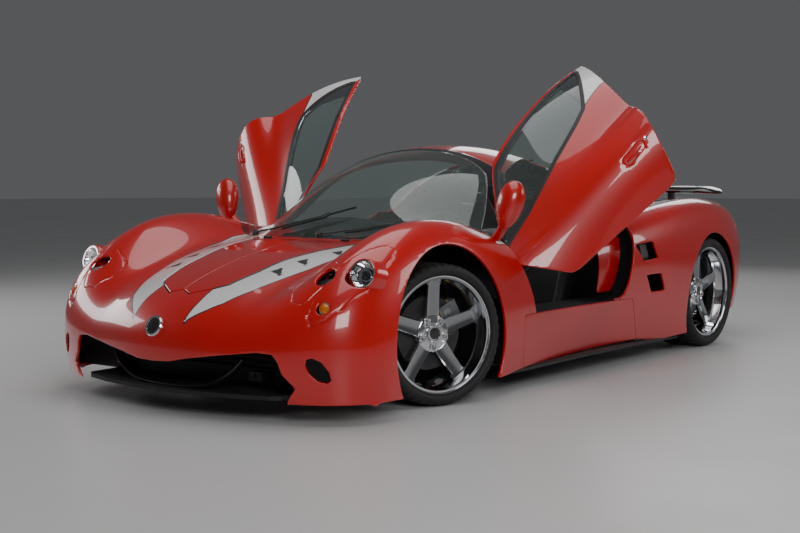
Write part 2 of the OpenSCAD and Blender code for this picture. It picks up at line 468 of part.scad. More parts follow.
module subframes() color("#2b2d31") {
    both() sbox(400.5, 439.5, -1960, -1700, 200, 280);
    difference() {
        translate([330, -2060 - stretch, 150]) cube([70, 69.5, 39.5]);
        translate([365, -2061 - stretch, 170]) rotate([-90, 0, 0]) cylinder(d = tow_d, h = 60);
    }
    both() for (y = [-700, 380]) sbox(560, 640, y - 40, y + 40, 80, 99.5);
}
// A round bar between two points.
module bar(a, b, d) aim(a, b - a) cylinder(d = d, h = norm(b - a));
// Two legs of a suspension arm, from the wall at x_in to the joint at bx.
module arm(bx, x_in, y, z) {
    for (s = [-1, 1]) bar([x_in, y + s * 130, z], [bx - 16, y + s * 6, z], 22);
    translate([bx - 24, y - 16, z - 12]) cube([24, 32, 24]);
}
module suspension_arms() color("#3c3f44") both() difference() {
    for (z = [-108, 108]) { arm(kingpin_x - 16 - fit, 455, -half_wb, hub_z_f + z); arm(half_track_r - 125 - fit, 612, half_wb, hub_z_r + z); }
    box(400, 462.5, -2600, 0, 0, 1000);
    box(560, 622.5, 0, 2600, 0, 1000);
}
module rear_uprights() color("#4a4d52") both() translate([half_track_r, half_wb, hub_z_r]) {
    box(-125, -52, -50, 50, -120, 120);
    rotate([0, 90, 0]) translate([0, 0, -60]) cylinder(d = spindle_d, h = 46);
    caliper_lug();
    caliper();
}
module half_shafts() color("#6a6d72") both() translate([180.5, half_wb, hub_z_r + 20]) rotate([0, 90, 0]) cylinder(d = 36, h = half_track_r - 125.5 - 180.5);
module caliper() rotate([28, 0, 0]) difference() {
    box(-54, 0, 95, disc_d / 2 + 20, -70, 70);
    box(-40, -6, 0, disc_d / 2 + 6, -90, 90);
}
module caliper_lug() rotate([28, 0, 0]) box(-75, -54 - fit, 0, 125, -35, 35);
// Everything that steers, drawn straight ahead about the kingpin, then turned to rest.
module steered(side) translate([side * kingpin_x, -half_wb, hub_z_f]) rotate([0, 0, -steer_rest]) mirror([side < 0 ? 1 : 0, 0, 0]) translate([kingpin_offset, 0, 0]) children();
module knuckle() {
    box(-kingpin_offset - 22, -52, -45, 45, -95, 95);
    rotate([0, 90, 0]) translate([0, 0, -60]) cylinder(d = spindle_d, h = 46);
    for (z = [-123, 93]) translate([-kingpin_offset, 0, z]) cylinder(d = 30, h = 30);
    caliper_lug();
    caliper();
}
module knuckle_left() color("#4a4d52") steered(1) knuckle();
module knuckle_right() color("#4a4d52") steered(-1) knuckle();
module tyre(d, w, lip) rotate([0, 90, 0]) rotate_extrude($fn = 96) polygon([[rim_d/2 - 18, fit - lip], [rim_d/2 + fit, fit - lip], [rim_d/2 + 14, -w/2], [d/2 - 24, -w/2 + 2], [d/2 - 8, -w/2 + 14], [d/2, -w/2 + 34], [d/2, w/2 - 34], [d/2 - 8, w/2 - 14], [d/2 - 24, w/2 - 2], [rim_d/2 + 14, w/2], [rim_d/2 + fit, lip - fit], [rim_d/2 - 18, lip - fit]]);
// Rim, spokes, hub and brake disc; lip is the flange's distance from the middle plane.
module wheel(lip, face) {
    r = rim_d / 2;
    difference() {
        union() {
            rotate([0, 90, 0]) rotate_extrude($fn = 96) polygon([[r - 18.5, -lip], [r - 18.5, lip], [r, lip], [r, lip + 6], [r - 26, lip + 6], [r - 30, face + 30], [r - 30, -lip - 6], [r, -lip - 6], [r, -lip]]);
            rotate([0, 90, 0]) translate([0, 0, face - 30]) cylinder(d = 150, h = 30);
            for (k = [0:spokes - 1]) rotate([k * 360 / spokes, 0, 0]) rotate([90, 0, 90]) translate([0, 0, face - 20]) linear_extrude(20 + 12) polygon([[-30, 40], [30, 40], [24, r - 28], [-24, r - 28]]);
        }
        rotate([0, 90, 0]) translate([0, 0, -100]) cylinder(d = spindle_d + 2 * fit, h = 100 + face - 12);
        rotate([0, 90, 0]) translate([0, 0, face]) cylinder(d1 = 190, d2 = 250, h = 20);
    }
    difference() {
        union() { rotate([0, 90, 0]) translate([0, 0, -35]) cylinder(d = disc_d, h = 24, $fn = 72); rotate([0, 90, 0]) translate([0, 0, -12]) cylinder(d = 140, h = face - 18 - fit); }
        rotate([0, 90, 0]) translate([0, 0, -50]) cylinder(d = spindle_d + 2 * fit, h = 100);
    }
}
// The flanges' half width.
lip_f = tyre_w_f * 0.4;
lip_r = tyre_w_r * 0.418;
module tyre_front_left() color("#0e0e0f") steered(1) tyre(tyre_d_f, tyre_w_f, lip_f);
module tyre_front_right() color("#0e0e0f") steered(-1) tyre(tyre_d_f, tyre_w_f, lip_f);
module wheel_front_left() color("#c9ccd0") steered(1) wheel(lip_f, 23);
module wheel_front_right() color("#c9ccd0") steered(-1) wheel(lip_f, 23);
module at_rear(side) translate([side * half_track_r, half_wb, hub_z_r]) mirror([side < 0 ? 1 : 0, 0, 0]) children();
module tyre_rear_left() color("#0e0e0f") at_rear(1) tyre(tyre_d_r, tyre_w_r, lip_r);
module tyre_rear_right() color("#0e0e0f") at_rear(-1) tyre(tyre_d_r, tyre_w_r, lip_r);
module wheel_rear_left() color("#c9ccd0") at_rear(1) wheel(lip_r, 44);
module wheel_rear_right() color("#c9ccd0") at_rear(-1) wheel(lip_r, 44);

module placed() translate([0, y0, 0]) children();

placed() tub();
placed() front_clip();
placed() hood();
placed() windscreen_frame();
placed() windscreen();
placed() roof_panel();
placed() side_sills();
placed() rear_quarter_left();
placed() rear_quarter_right();
placed() tail_panel();
placed() tail_lamps();
placed() headlamps();
placed() indicators();
placed() door_left();
placed() door_right();
placed() door_glass_left();
placed() door_glass_right();
placed() door_hinges();
placed() lid_hinges();
placed() engine_cover();
placed() front_splitter();
placed() grille();
placed() engine();
placed() gearbox();
placed() dashboard();
placed() console();
placed() seats();
placed() steering_column();
placed() steering_wheel();
placed() rear_spoiler();
placed() mirrors();
placed() wipers();
placed() exhausts();
placed() diffuser();
placed() subframes();
placed() suspension_arms();
placed() rear_uprights();
placed() half_shafts();
placed() knuckle_left();
placed() knuckle_right();
placed() tyre_front_left();
placed() tyre_front_right();
placed() wheel_front_left();
placed() wheel_front_right();
placed() tyre_rear_left();
placed() tyre_rear_right();
placed() wheel_rear_left();
placed() wheel_rear_right();
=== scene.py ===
"""Looks of a low mid-engined two-seat sports car with raised dihedral doors.

Every length is in metres.  The shell's shape lives in the axle frame, whose Y
origin lies midway between the axles; `Shell.shift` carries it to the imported
frame.  Each class below is one sub-assembly and holds its own sizes.
"""
from __future__ import annotations

import json
import logging
import math
from dataclasses import dataclass, field
from enum import Enum
from typing import Callable, Iterable, Sequence

import bpy
import numpy as np
from mathutils import Matrix, Vector

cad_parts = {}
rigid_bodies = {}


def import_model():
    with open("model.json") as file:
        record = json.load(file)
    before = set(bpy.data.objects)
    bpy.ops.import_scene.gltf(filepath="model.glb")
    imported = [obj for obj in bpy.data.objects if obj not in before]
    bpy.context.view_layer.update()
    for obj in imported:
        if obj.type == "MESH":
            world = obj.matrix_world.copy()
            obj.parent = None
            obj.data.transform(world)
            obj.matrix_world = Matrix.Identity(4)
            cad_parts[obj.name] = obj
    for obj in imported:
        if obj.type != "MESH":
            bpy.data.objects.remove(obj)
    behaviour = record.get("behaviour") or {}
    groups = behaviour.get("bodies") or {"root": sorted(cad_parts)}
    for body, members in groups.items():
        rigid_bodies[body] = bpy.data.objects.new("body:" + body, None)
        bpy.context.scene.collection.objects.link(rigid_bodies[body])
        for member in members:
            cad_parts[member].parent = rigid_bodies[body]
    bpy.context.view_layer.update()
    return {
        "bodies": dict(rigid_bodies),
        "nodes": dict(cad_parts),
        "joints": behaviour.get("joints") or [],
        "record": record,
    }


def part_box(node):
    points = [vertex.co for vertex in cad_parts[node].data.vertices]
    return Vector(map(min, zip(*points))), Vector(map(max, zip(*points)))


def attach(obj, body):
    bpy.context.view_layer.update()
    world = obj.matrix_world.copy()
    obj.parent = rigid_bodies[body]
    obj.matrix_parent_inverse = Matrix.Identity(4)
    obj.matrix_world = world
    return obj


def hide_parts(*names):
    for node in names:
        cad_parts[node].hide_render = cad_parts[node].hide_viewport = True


LOG = logging.getLogger("car")
Array = np.ndarray
Field = Callable[[Array], Array]
Point = tuple[float, float, float]
Outline2 = Sequence[tuple[float, float]]


# ---- Finishes ----
class Grain(Enum):
    """Kinds of fine relief a finish can carry."""

    PEEL = "peel"
    NOISE = "noise"
    PEBBLE = "pebble"
    BRUSHED = "brushed"
    RIBBED = "ribbed"


def _sockets(group: bpy.types.ShaderNodeTree, inputs: dict[str, tuple[str, object]],
             outputs: dict[str, str]) -> None:
    """Gives a node group its sockets.

    Args:
        group: The new shader group.
        inputs: Name to (socket type, default value or None).
        outputs: Name to socket type.
    """
    for name, (kind, value) in inputs.items():
        socket = group.interface.new_socket(name=name, in_out="INPUT", socket_type=kind)
        if value is not None:
            socket.default_value = value
    for name, kind in outputs.items():
        group.interface.new_socket(name=name, in_out="OUTPUT", socket_type=kind)


def tone_group() -> bpy.types.ShaderNodeTree:
    """Builds, once, the group that clouds a colour and its roughness.

    Returns:
        The group.
    """
    group = bpy.data.node_groups.get("tone_clouding")
    if group:
        return group
    group = bpy.data.node_groups.new("tone_clouding", "ShaderNodeTree")
    _sockets(group, {"Vector": ("NodeSocketVector", None), "Color": ("NodeSocketColor", (1, 1, 1, 1)),
                     "Shade": ("NodeSocketColor", (0, 0, 0, 1)), "Scale": ("NodeSocketFloat", 5.0),
                     "Roughness": ("NodeSocketFloat", 0.3), "Spread": ("NodeSocketFloat", 0.05)},
             {"Color": "NodeSocketColor", "Roughness": "NodeSocketFloat"})
    nodes, links = group.nodes, group.links
    start, end = nodes.new("NodeGroupInput"), nodes.new("NodeGroupOutput")
    noise = nodes.new("ShaderNodeTexNoise")
    noise.inputs["Detail"].default_value = 5.0
    ramp = nodes.new("ShaderNodeMapRange")
    ramp.inputs["From Min"].default_value = 0.35
    ramp.inputs["From Max"].default_value = 0.75
    mix = nodes.new("ShaderNodeMix")
    mix.data_type = "RGBA"
    links.new(start.outputs["Vector"], noise.inputs["Vector"])
    links.new(start.outputs["Scale"], noise.inputs["Scale"])
    links.new(noise.outputs["Fac"], ramp.inputs["Value"])
    links.new(ramp.outputs["Result"], mix.inputs["Factor"])
    links.new(start.outputs["Color"], mix.inputs["A"])
    links.new(start.outputs["Shade"], mix.inputs["B"])
    links.new(mix.outputs["Result"], end.inputs["Color"])
    rough = nodes.new("ShaderNodeMath")
    rough.operation = "MULTIPLY_ADD"
    links.new(ramp.outputs["Result"], rough.inputs[0])
    links.new(start.outputs["Spread"], rough.inputs[1])
    links.new(start.outputs["Roughness"], rough.inputs[2])
    links.new(rough.outputs["Value"], end.inputs["Roughness"])
    return group


def relief_group(kind: Grain) -> bpy.types.ShaderNodeTree:
    """Builds, once for each kind, the group that gives a fine relief's height.

    Args:
        kind: Which relief.

    Returns:
        The group, with Vector and Scale in and Height out.
    """
    name = "relief_" + kind.value
    group = bpy.data.node_groups.get(name)
    if group:
        return group
    group = bpy.data.node_groups.new(name, "ShaderNodeTree")
    _sockets(group, {"Vector": ("NodeSocketVector", None), "Scale": ("NodeSocketFloat", 200.0)},
             {"Height": "NodeSocketFloat"})
    nodes, links = group.nodes, group.links
    start, end = nodes.new("NodeGroupInput"), nodes.new("NodeGroupOutput")
    if kind is Grain.PEBBLE:
        tex = nodes.new("ShaderNodeTexVoronoi")
        tex.feature = "SMOOTH_F1"
        out = tex.outputs["Distance"]
    elif kind is Grain.RIBBED:
        tex = nodes.new("ShaderNodeTexWave")
        tex.inputs["Distortion"].default_value = 0.0
        out = tex.outputs["Fac"]
    else:
        tex = nodes.new("ShaderNodeTexNoise")
        tex.inputs["Detail"].default_value = 1.0 if kind is Grain.PEEL else 6.0
        out = tex.outputs["Fac"]
    if kind is Grain.BRUSHED:
        squeeze = nodes.new("ShaderNodeMapping")
        squeeze.inputs["Scale"].default_value = (0.05, 1.0, 1.0)
        links.new(start.outputs["Vector"], squeeze.inputs["Vector"])
        links.new(squeeze.outputs["Vector"], tex.inputs["Vector"])
    else:
        links.new(start.outputs["Vector"], tex.inputs["Vector"])
    links.new(start.outputs["Scale"], tex.inputs["Scale"])
    links.new(out, end.inputs["Height"])
    return group


@dataclass(frozen=True)
class Finish:
    """One surface finish, made as a procedural material when first asked for."""

    name: str
    color: tuple[float, float, float]
    shade: tuple[float, float, float]
    roughness: float = 0.4
    spread: float = 0.08
    cloud: float = 4.0
    metallic: float = 0.0
    coat: float = 0.0
    coat_roughness: float = 0.03
    grain: Grain = Grain.NOISE
    grain_scale: float = 300.0
    grain_height: float = 0.0003
    transmission: float = 0.0
    ior: float = 1.5
    glow: float = 0.0

    def material(self) -> bpy.types.Material:
        """Returns the finish's material, building it the first time."""
        mat = bpy.data.materials.get(self.name)
        if mat:
            return mat
        mat = bpy.data.materials.new(self.name)
        mat.use_nodes = True
        mat.diffuse_color = (*self.color, 1.0)
        nodes, links = mat.node_tree.nodes, mat.node_tree.links
        shader = nodes["Principled BSDF"]
        coords = nodes.new("ShaderNodeTexCoord")
        tone = nodes.new("ShaderNodeGroup")
        tone.node_tree = tone_group()
        tone.inputs["Color"].default_value = (*self.color, 1.0)
        tone.inputs["Shade"].default_value = (*self.shade, 1.0)
        tone.inputs["Scale"].default_value = self.cloud
        tone.inputs["Roughness"].default_value = self.roughness
        tone.inputs["Spread"].default_value = self.spread
        links.new(coords.outputs["Object"], tone.inputs["Vector"])
        links.new(tone.outputs["Color"], shader.inputs["Base Color"])
        links.new(tone.outputs["Roughness"], shader.inputs["Roughness"])
        relief = nodes.new("ShaderNodeGroup")
        relief.node_tree = relief_group(self.grain)
        relief.inputs["Scale"].default_value = self.grain_scale
        bump = nodes.new("ShaderNodeBump")
        bump.inputs["Distance"].default_value = self.grain_height
        links.new(coords.outputs["Object"], relief.inputs["Vector"])
        links.new(relief.outputs["Height"], bump.inputs["Height"])
        links.new(bump.outputs["Normal"], shader.inputs["Normal"])
        shader.inputs["Metallic"].default_value = self.metallic
        shader.inputs["IOR"].default_value = self.ior
        shader.inputs["Transmission Weight"].default_value = self.transmission
        shader.inputs["Coat Weight"].default_value = self.coat
        shader.inputs["Coat Roughness"].default_value = self.coat_roughness
        if self.glow:
            shader.inputs["Emission Color"].default_value = (*self.color, 1.0)
            shader.inputs["Emission Strength"].default_value = self.glow
        return mat


RED = Finish("paint_red", (0.60, 0.0, 0.0), (0.48, 0.0, 0.0), 0.30, 0.04, 2.0, coat=1.0, coat_roughness=0.02,
             grain=Grain.PEEL, grain_scale=90.0, grain_height=0.00002)
WHITE = Finish("paint_white", (0.80, 0.80, 0.79), (0.72, 0.72, 0.71), 0.30, 0.04, 2.0, coat=1.0,
               coat_roughness=0.02,
               grain=Grain.PEEL, grain_scale=90.0, grain_height=0.00002)
LINE = Finish("paint_line", (0.02, 0.012, 0.012), (0.03, 0.015, 0.015), 0.35, 0.05, 9.0, coat=0.6)
PIANO = Finish("black_gloss", (0.010, 0.010, 0.011), (0.016, 0.016, 0.018), 0.12, 0.05, 5.0, coat=1.0,
               grain=Grain.PEEL, grain_scale=90.0, grain_height=0.00002)
SATIN = Finish("black_satin", (0.018, 0.018, 0.019), (0.028, 0.028, 0.030), 0.42, 0.15, 6.0,
               grain_height=0.0002)
TRIM = Finish("cabin_trim", (0.024, 0.024, 0.026), (0.034, 0.034, 0.036), 0.60, 0.12, 12.0,
              grain=Grain.PEBBLE,
              grain_scale=420.0, grain_height=0.0004)
LEATHER = Finish("seat_hide", (0.022, 0.021, 0.022), (0.040, 0.038, 0.038), 0.42, 0.14, 9.0,
                 grain=Grain.PEBBLE,
                 grain_scale=520.0, grain_height=0.0005)
THREAD = Finish("red_thread", (0.42, 0.01, 0.01), (0.30, 0.01, 0.01), 0.65, 0.1, 60.0)
RUBBER = Finish("rubber_seal", (0.010, 0.010, 0.010), (0.020, 0.020, 0.020), 0.62, 0.15, 14.0)
TYRE = Finish("tyre_rubber", (0.011, 0.011, 0.011), (0.024, 0.023, 0.022), 0.58, 0.22, 7.0, grain_scale=500.0,
              grain_height=0.0006)
CHROME = Finish("wheel_chrome", (0.78, 0.79, 0.81), (0.66, 0.67, 0.69), 0.05, 0.06, 8.0, metallic=1.0,
                grain_height=0.00004)
GUNMETAL = Finish("spoke_polish", (0.42, 0.43, 0.45), (0.33, 0.34, 0.36), 0.14, 0.08, 8.0, metallic=1.0,
                  grain=Grain.BRUSHED, grain_scale=700.0, grain_height=0.00006)
STEEL = Finish("bright_steel", (0.55, 0.55, 0.56), (0.42, 0.41, 0.40), 0.24, 0.16, 20.0, metallic=1.0,
               grain=Grain.BRUSHED, grain_scale=900.0, grain_height=0.0002)
DARK_STEEL = Finish("dark_steel", (0.060, 0.061, 0.064), (0.10, 0.095, 0.09), 0.44, 0.2, 15.0, metallic=0.7)
CAST = Finish("cast_alloy", (0.30, 0.31, 0.32), (0.20, 0.20, 0.20), 0.48, 0.22, 18.0, metallic=0.9,
              grain_scale=400.0,
              grain_height=0.0012)
CALIPER = Finish("caliper_gold", (0.46, 0.32, 0.10), (0.36, 0.24, 0.07), 0.34, 0.12, 22.0, metallic=0.35,
                 coat=0.6)
GLASS = Finish("tinted_glass", (0.55, 0.66, 0.63), (0.50, 0.61, 0.58), 0.0, 0.02, 1.5, transmission=0.94,
               ior=1.5,
               grain=Grain.PEEL, grain_scale=8.0, grain_height=0.00001)
SMOKE = Finish("smoked_glass", (0.045, 0.052, 0.055), (0.035, 0.042, 0.045), 0.02, 0.04, 3.0, coat=1.0,
               grain=Grain.PEEL, grain_scale=20.0, grain_height=0.00001)
LENS = Finish("clear_lens", (0.97, 0.98, 0.98), (0.93, 0.95, 0.96), 0.0, 0.02, 5.0, transmission=1.0,
              ior=1.30,
              grain=Grain.RIBBED, grain_scale=30.0, grain_height=0.00006)
MIRROR = Finish("reflector", (0.93, 0.93, 0.94), (0.86, 0.86, 0.88), 0.03, 0.04, 30.0, metallic=1.0,
                grain_height=0.00004)
AMBER = Finish("amber_lens", (0.90, 0.27, 0.015), (0.75, 0.18, 0.01), 0.10, 0.08, 60.0, transmission=0.35,
               coat=1.0,
               grain=Grain.RIBBED, grain_scale=60.0, grain_height=0.0012, glow=0.06)
RUBY = Finish("red_lens", (0.50, 0.006, 0.008), (0.34, 0.004, 0.006), 0.10, 0.08, 60.0, transmission=0.3,
              coat=1.0,
              grain=Grain.RIBBED, grain_scale=60.0, grain_height=0.0012, glow=0.03)
HEAT = Finish("tip_steel", (0.50, 0.47, 0.45), (0.30, 0.24, 0.26), 0.20, 0.16, 12.0, metallic=1.0,
              grain=Grain.BRUSHED, grain_scale=600.0, grain_height=0.0003)
PALE = Finish("floor_pale", (0.66, 0.66, 0.655), (0.62, 0.62, 0.615), 0.34, 0.08, 1.2, grain_scale=60.0,
              grain_height=0.0002)


# ---- Fields: signed distances that say where a panel is (negative inside) ----
class Plane(Enum):
    """Which two axes an outline is drawn in; x is taken without its sign."""

    SIDE = (1, 2)
    PLAN = (0, 1)
    FRONT = (0, 2)


def outline(points: Outline2, plane: Plane) -> Field:
    """Signed distance to a closed outline.

    Args:
        points: Corners in millimetres, in order.
        plane: The two axes it is drawn in.

    Returns:
        A field in metres, negative inside the outline.
    """
    a = np.array(points, float) / 1000.0
    b = np.roll(a, -1, axis=0)

    def value(p: Array) -> Array:
        """Signed distance to the outline, below zero inside."""
        q = np.stack([np.abs(p[:, k]) if k == 0 else p[:, k] for k in plane.value], axis=1)
        best = np.full(len(q), 1e9)
        inside = np.zeros(len(q), bool)
        for s, e in zip(a, b):
            d = e - s
            w = q - s
            t = np.clip((w @ d) / max(d @ d, 1e-12), 0, 1)
            best = np.minimum(best, ((w - t[:, None] * d) ** 2).sum(1))
            cross = (s[1] > q[:, 1]) != (e[1] > q[:, 1])
            slope = d[0] / (d[1] if abs(d[1]) > 1e-12 else 1e-12)
            inside ^= cross & (q[:, 0] < s[0] + (q[:, 1] - s[1]) * slope)
        return np.where(inside, -1.0, 1.0) * np.sqrt(best)

    return value


def meet(*fields: Field) -> Field:
    """Field of what lies inside all of the fields."""
    return lambda p: np.maximum.reduce([f(p) for f in fields])


def join(*fields: Field) -> Field:
    """Field of what lies inside any of the fields."""
    return lambda p: np.minimum.reduce([f(p) for f in fields])


def clear_of(shape: Field, gap: float = 0.0) -> Field:
    """Field of what lies at least a gap outside a shape."""
    return lambda p: gap - shape(p)


def beyond(axis: int, at: float, sign: int = 1) -> Field:
    """Field of the half space past a plane; axis 0 uses |x|.

    Args:
        axis: 0, 1 or 2.
        at: Where the plane stands.
        sign: 1 keeps what is larger, -1 what is smaller.
    """
    return lambda p: sign * (at - (np.abs(p[:, 0]) if axis == 0 else p[:, axis]))


def bore(at: Point, along: Point, radius: float) -> Field:
    """Field of a round bore, on both sides of the car.

    Args:
        at: A point on its axis, on the left side.
        along: Its direction.
        radius: Its radius.

    Returns:
        A field that is negative inside.
    """
    a, d = np.array(at), np.array(along) / np.linalg.norm(along)

    def value(p: Array) -> Array:
        """Signed distance to the bore's wall."""
        w = np.column_stack([np.abs(p[:, 0]), p[:, 1], p[:, 2]]) - a
        return np.linalg.norm(w - (w @ d)[:, None] * d, axis=1) - radius

    return value
# Control net of the shell's left half, in millimetres: sections from the nose to the
# tail, each from the sill's lower edge up the side and over to the centreline.
NET = (
    ((935, -1930, 90), (900, -2005, 90), (850, -2065, 90), (790, -2110, 90), (710, -2150, 90),
     (610, -2185, 90), (510, -2215, 90), (420, -2235, 90), (320, -2255, 90), (210, -2272, 90),
     (105, -2282, 90), (0, -2285, 90)),
    ((945, -1860, 90), (940, -1960, 210), (905, -2055, 260), (835, -2125, 280), (740, -2175, 290),
     (630, -2215, 290), (520, -2250, 285), (425, -2275, 280), (320, -2300, 275), (210, -2322, 270),
     (105, -2336, 265), (0, -2340, 262)),
    ((952, -1780, 90), (955, -1880, 230), (940, -1985, 350), (880, -2075, 430), (780, -2135, 455),
     (660, -2180, 440), (530, -2215, 427), (420, -2240, 423), (310, -2270, 425), (200, -2295, 425),
     (100, -2310, 425), (0, -2315, 425)),
    ((958, -1720, 90), (962, -1800, 240), (955, -1890, 400), (910, -1975, 535), (825, -2020, 600),
     (710, -2045, 600), (575, -2065, 549), (455, -2080, 507), (335, -2110, 527), (205, -2140, 532),
     (100, -2155, 532), (0, -2160, 532)),
    ((960, -1660, 90), (966, -1710, 240), (962, -1770, 420), (930, -1815, 590), (865, -1840, 700),
     (740, -1855, 735), (600, -1870, 654), (480, -1880, 572), (360, -1900, 602), (230, -1920, 612),
     (115, -1930, 614), (0, -1935, 614)),
    ((960, -1570, 90), (968, -1590, 240), (966, -1600, 430), (940, -1610, 635), (880, -1615, 778),
     (755, -1620, 848), (620, -1625, 768), (500, -1630, 645), (400, -1640, 674), (265, -1650, 684),
     (130, -1655, 686), (0, -1655, 686)),
    ((960, -1367, 90), (968, -1367, 240), (966, -1367, 430), (942, -1367, 660), (885, -1367, 805),
     (765, -1367, 870), (630, -1367, 792), (525, -1367, 689), (440, -1367, 706), (300, -1367, 716),
     (150, -1367, 719), (0, -1367, 719)),
    ((955, -1140, 90), (962, -1140, 240), (960, -1140, 430), (935, -1140, 645), (882, -1140, 785),
     (775, -1140, 855), (645, -1140, 785), (555, -1140, 710), (470, -1140, 722), (330, -1140, 735),
     (170, -1140, 742), (0, -1140, 744)),
    ((940, -910, 90), (945, -910, 240), (942, -910, 410), (922, -910, 580), (875, -910, 712),
     (785, -910, 785), (685, -910, 765), (620, -910, 745), (535, -910, 790), (395, -910, 838),
     (200, -910, 868), (0, -910, 878)),
    ((905, -680, 100), (915, -680, 240), (918, -680, 400), (905, -680, 530), (862, -680, 635),
     (795, -680, 700), (735, -680, 735), (680, -680, 800), (585, -680, 910), (440, -680, 998),
     (230, -680, 1048), (0, -680, 1062)),
    ((875, -420, 110), (892, -420, 250), (900, -420, 385), (895, -420, 515), (862, -420, 620),
     (805, -420, 690), (748, -420, 750), (695, -420, 855), (605, -420, 992), (455, -420, 1100),
     (240, -420, 1162), (0, -420, 1178)),
    ((865, -120, 115), (892, -120, 250), (915, -120, 385), (925, -120, 530), (895, -120, 660),
     (820, -120, 728), (755, -120, 775), (700, -120, 870), (610, -120, 1000), (455, -120, 1118),
     (240, -120, 1192), (0, -120, 1212)),
    ((865, 180, 115), (898, 180, 250), (935, 180, 385), (962, 180, 550), (935, 180, 700), (840, 180, 770),
     (762, 180, 780), (700, 180, 855), (605, 180, 975), (445, 180, 1098), (240, 180, 1172), (0, 180, 1194)),
    ((885, 450, 110), (925, 450, 250), (962, 450, 400), (985, 450, 585), (945, 450, 745), (850, 450, 810),
     (765, 450, 790), (695, 450, 830), (595, 450, 925), (435, 450, 1035), (230, 450, 1108), (0, 450, 1130)),
    ((915, 800, 95), (955, 800, 250), (982, 800, 420), (990, 800, 630), (945, 800, 805), (845, 800, 872),
     (745, 800, 835), (665, 800, 825), (565, 800, 870), (410, 800, 945), (220, 800, 1005), (0, 800, 1025)),
    ((935, 1100, 95), (965, 1100, 250), (985, 1100, 420), (986, 1100, 645), (935, 1100, 832),
     (835, 1100, 898), (735, 1100, 865), (650, 1100, 845), (550, 1100, 865), (400, 1100, 900),
     (210, 1100, 935), (0, 1100, 948)),
    ((940, 1333, 120), (965, 1333, 250), (980, 1333, 420), (978, 1333, 655), (925, 1333, 842),
     (825, 1333, 903), (725, 1333, 880), (640, 1333, 865), (540, 1333, 868), (400, 1333, 880),
     (200, 1333, 895), (0, 1333, 900)),
    ((930, 1580, 160), (950, 1580, 280), (962, 1580, 430), (960, 1580, 645), (910, 1580, 820),
     (815, 1580, 884), (715, 1580, 880), (625, 1580, 875), (525, 1580, 875), (385, 1580, 878),
     (200, 1580, 882), (0, 1580, 884)),
    ((895, 1770, 195), (915, 1780, 300), (928, 1790, 440), (925, 1800, 625), (880, 1810, 778),
     (795, 1820, 846), (700, 1830, 868), (615, 1840, 872), (515, 1850, 874), (375, 1860, 876),
     (195, 1865, 878), (0, 1865, 880)),
    ((850, 1885, 210), (865, 1905, 310), (875, 1925, 440), (865, 1945, 600), (825, 1960, 718),
     (755, 1975, 788), (670, 1990, 835), (590, 2005, 862), (500, 2020, 878), (370, 2035, 888),
     (190, 2045, 892), (0, 2050, 895)),
    ((805, 1955, 215), (805, 1985, 320), (800, 2010, 440), (785, 2030, 560), (745, 2050, 640),
     (680, 2065, 685), (600, 2080, 715), (520, 2090, 735), (440, 2100, 750), (320, 2110, 760),
     (165, 2115, 765), (0, 2115, 768)),
    ((770, 1960, 225), (745, 1995, 260), (720, 2020, 330), (690, 2040, 400), (650, 2055, 450),
     (590, 2070, 480), (520, 2080, 500), (450, 2090, 510), (375, 2095, 515), (270, 2100, 520),
     (140, 2105, 522), (0, 2105, 524)),
)


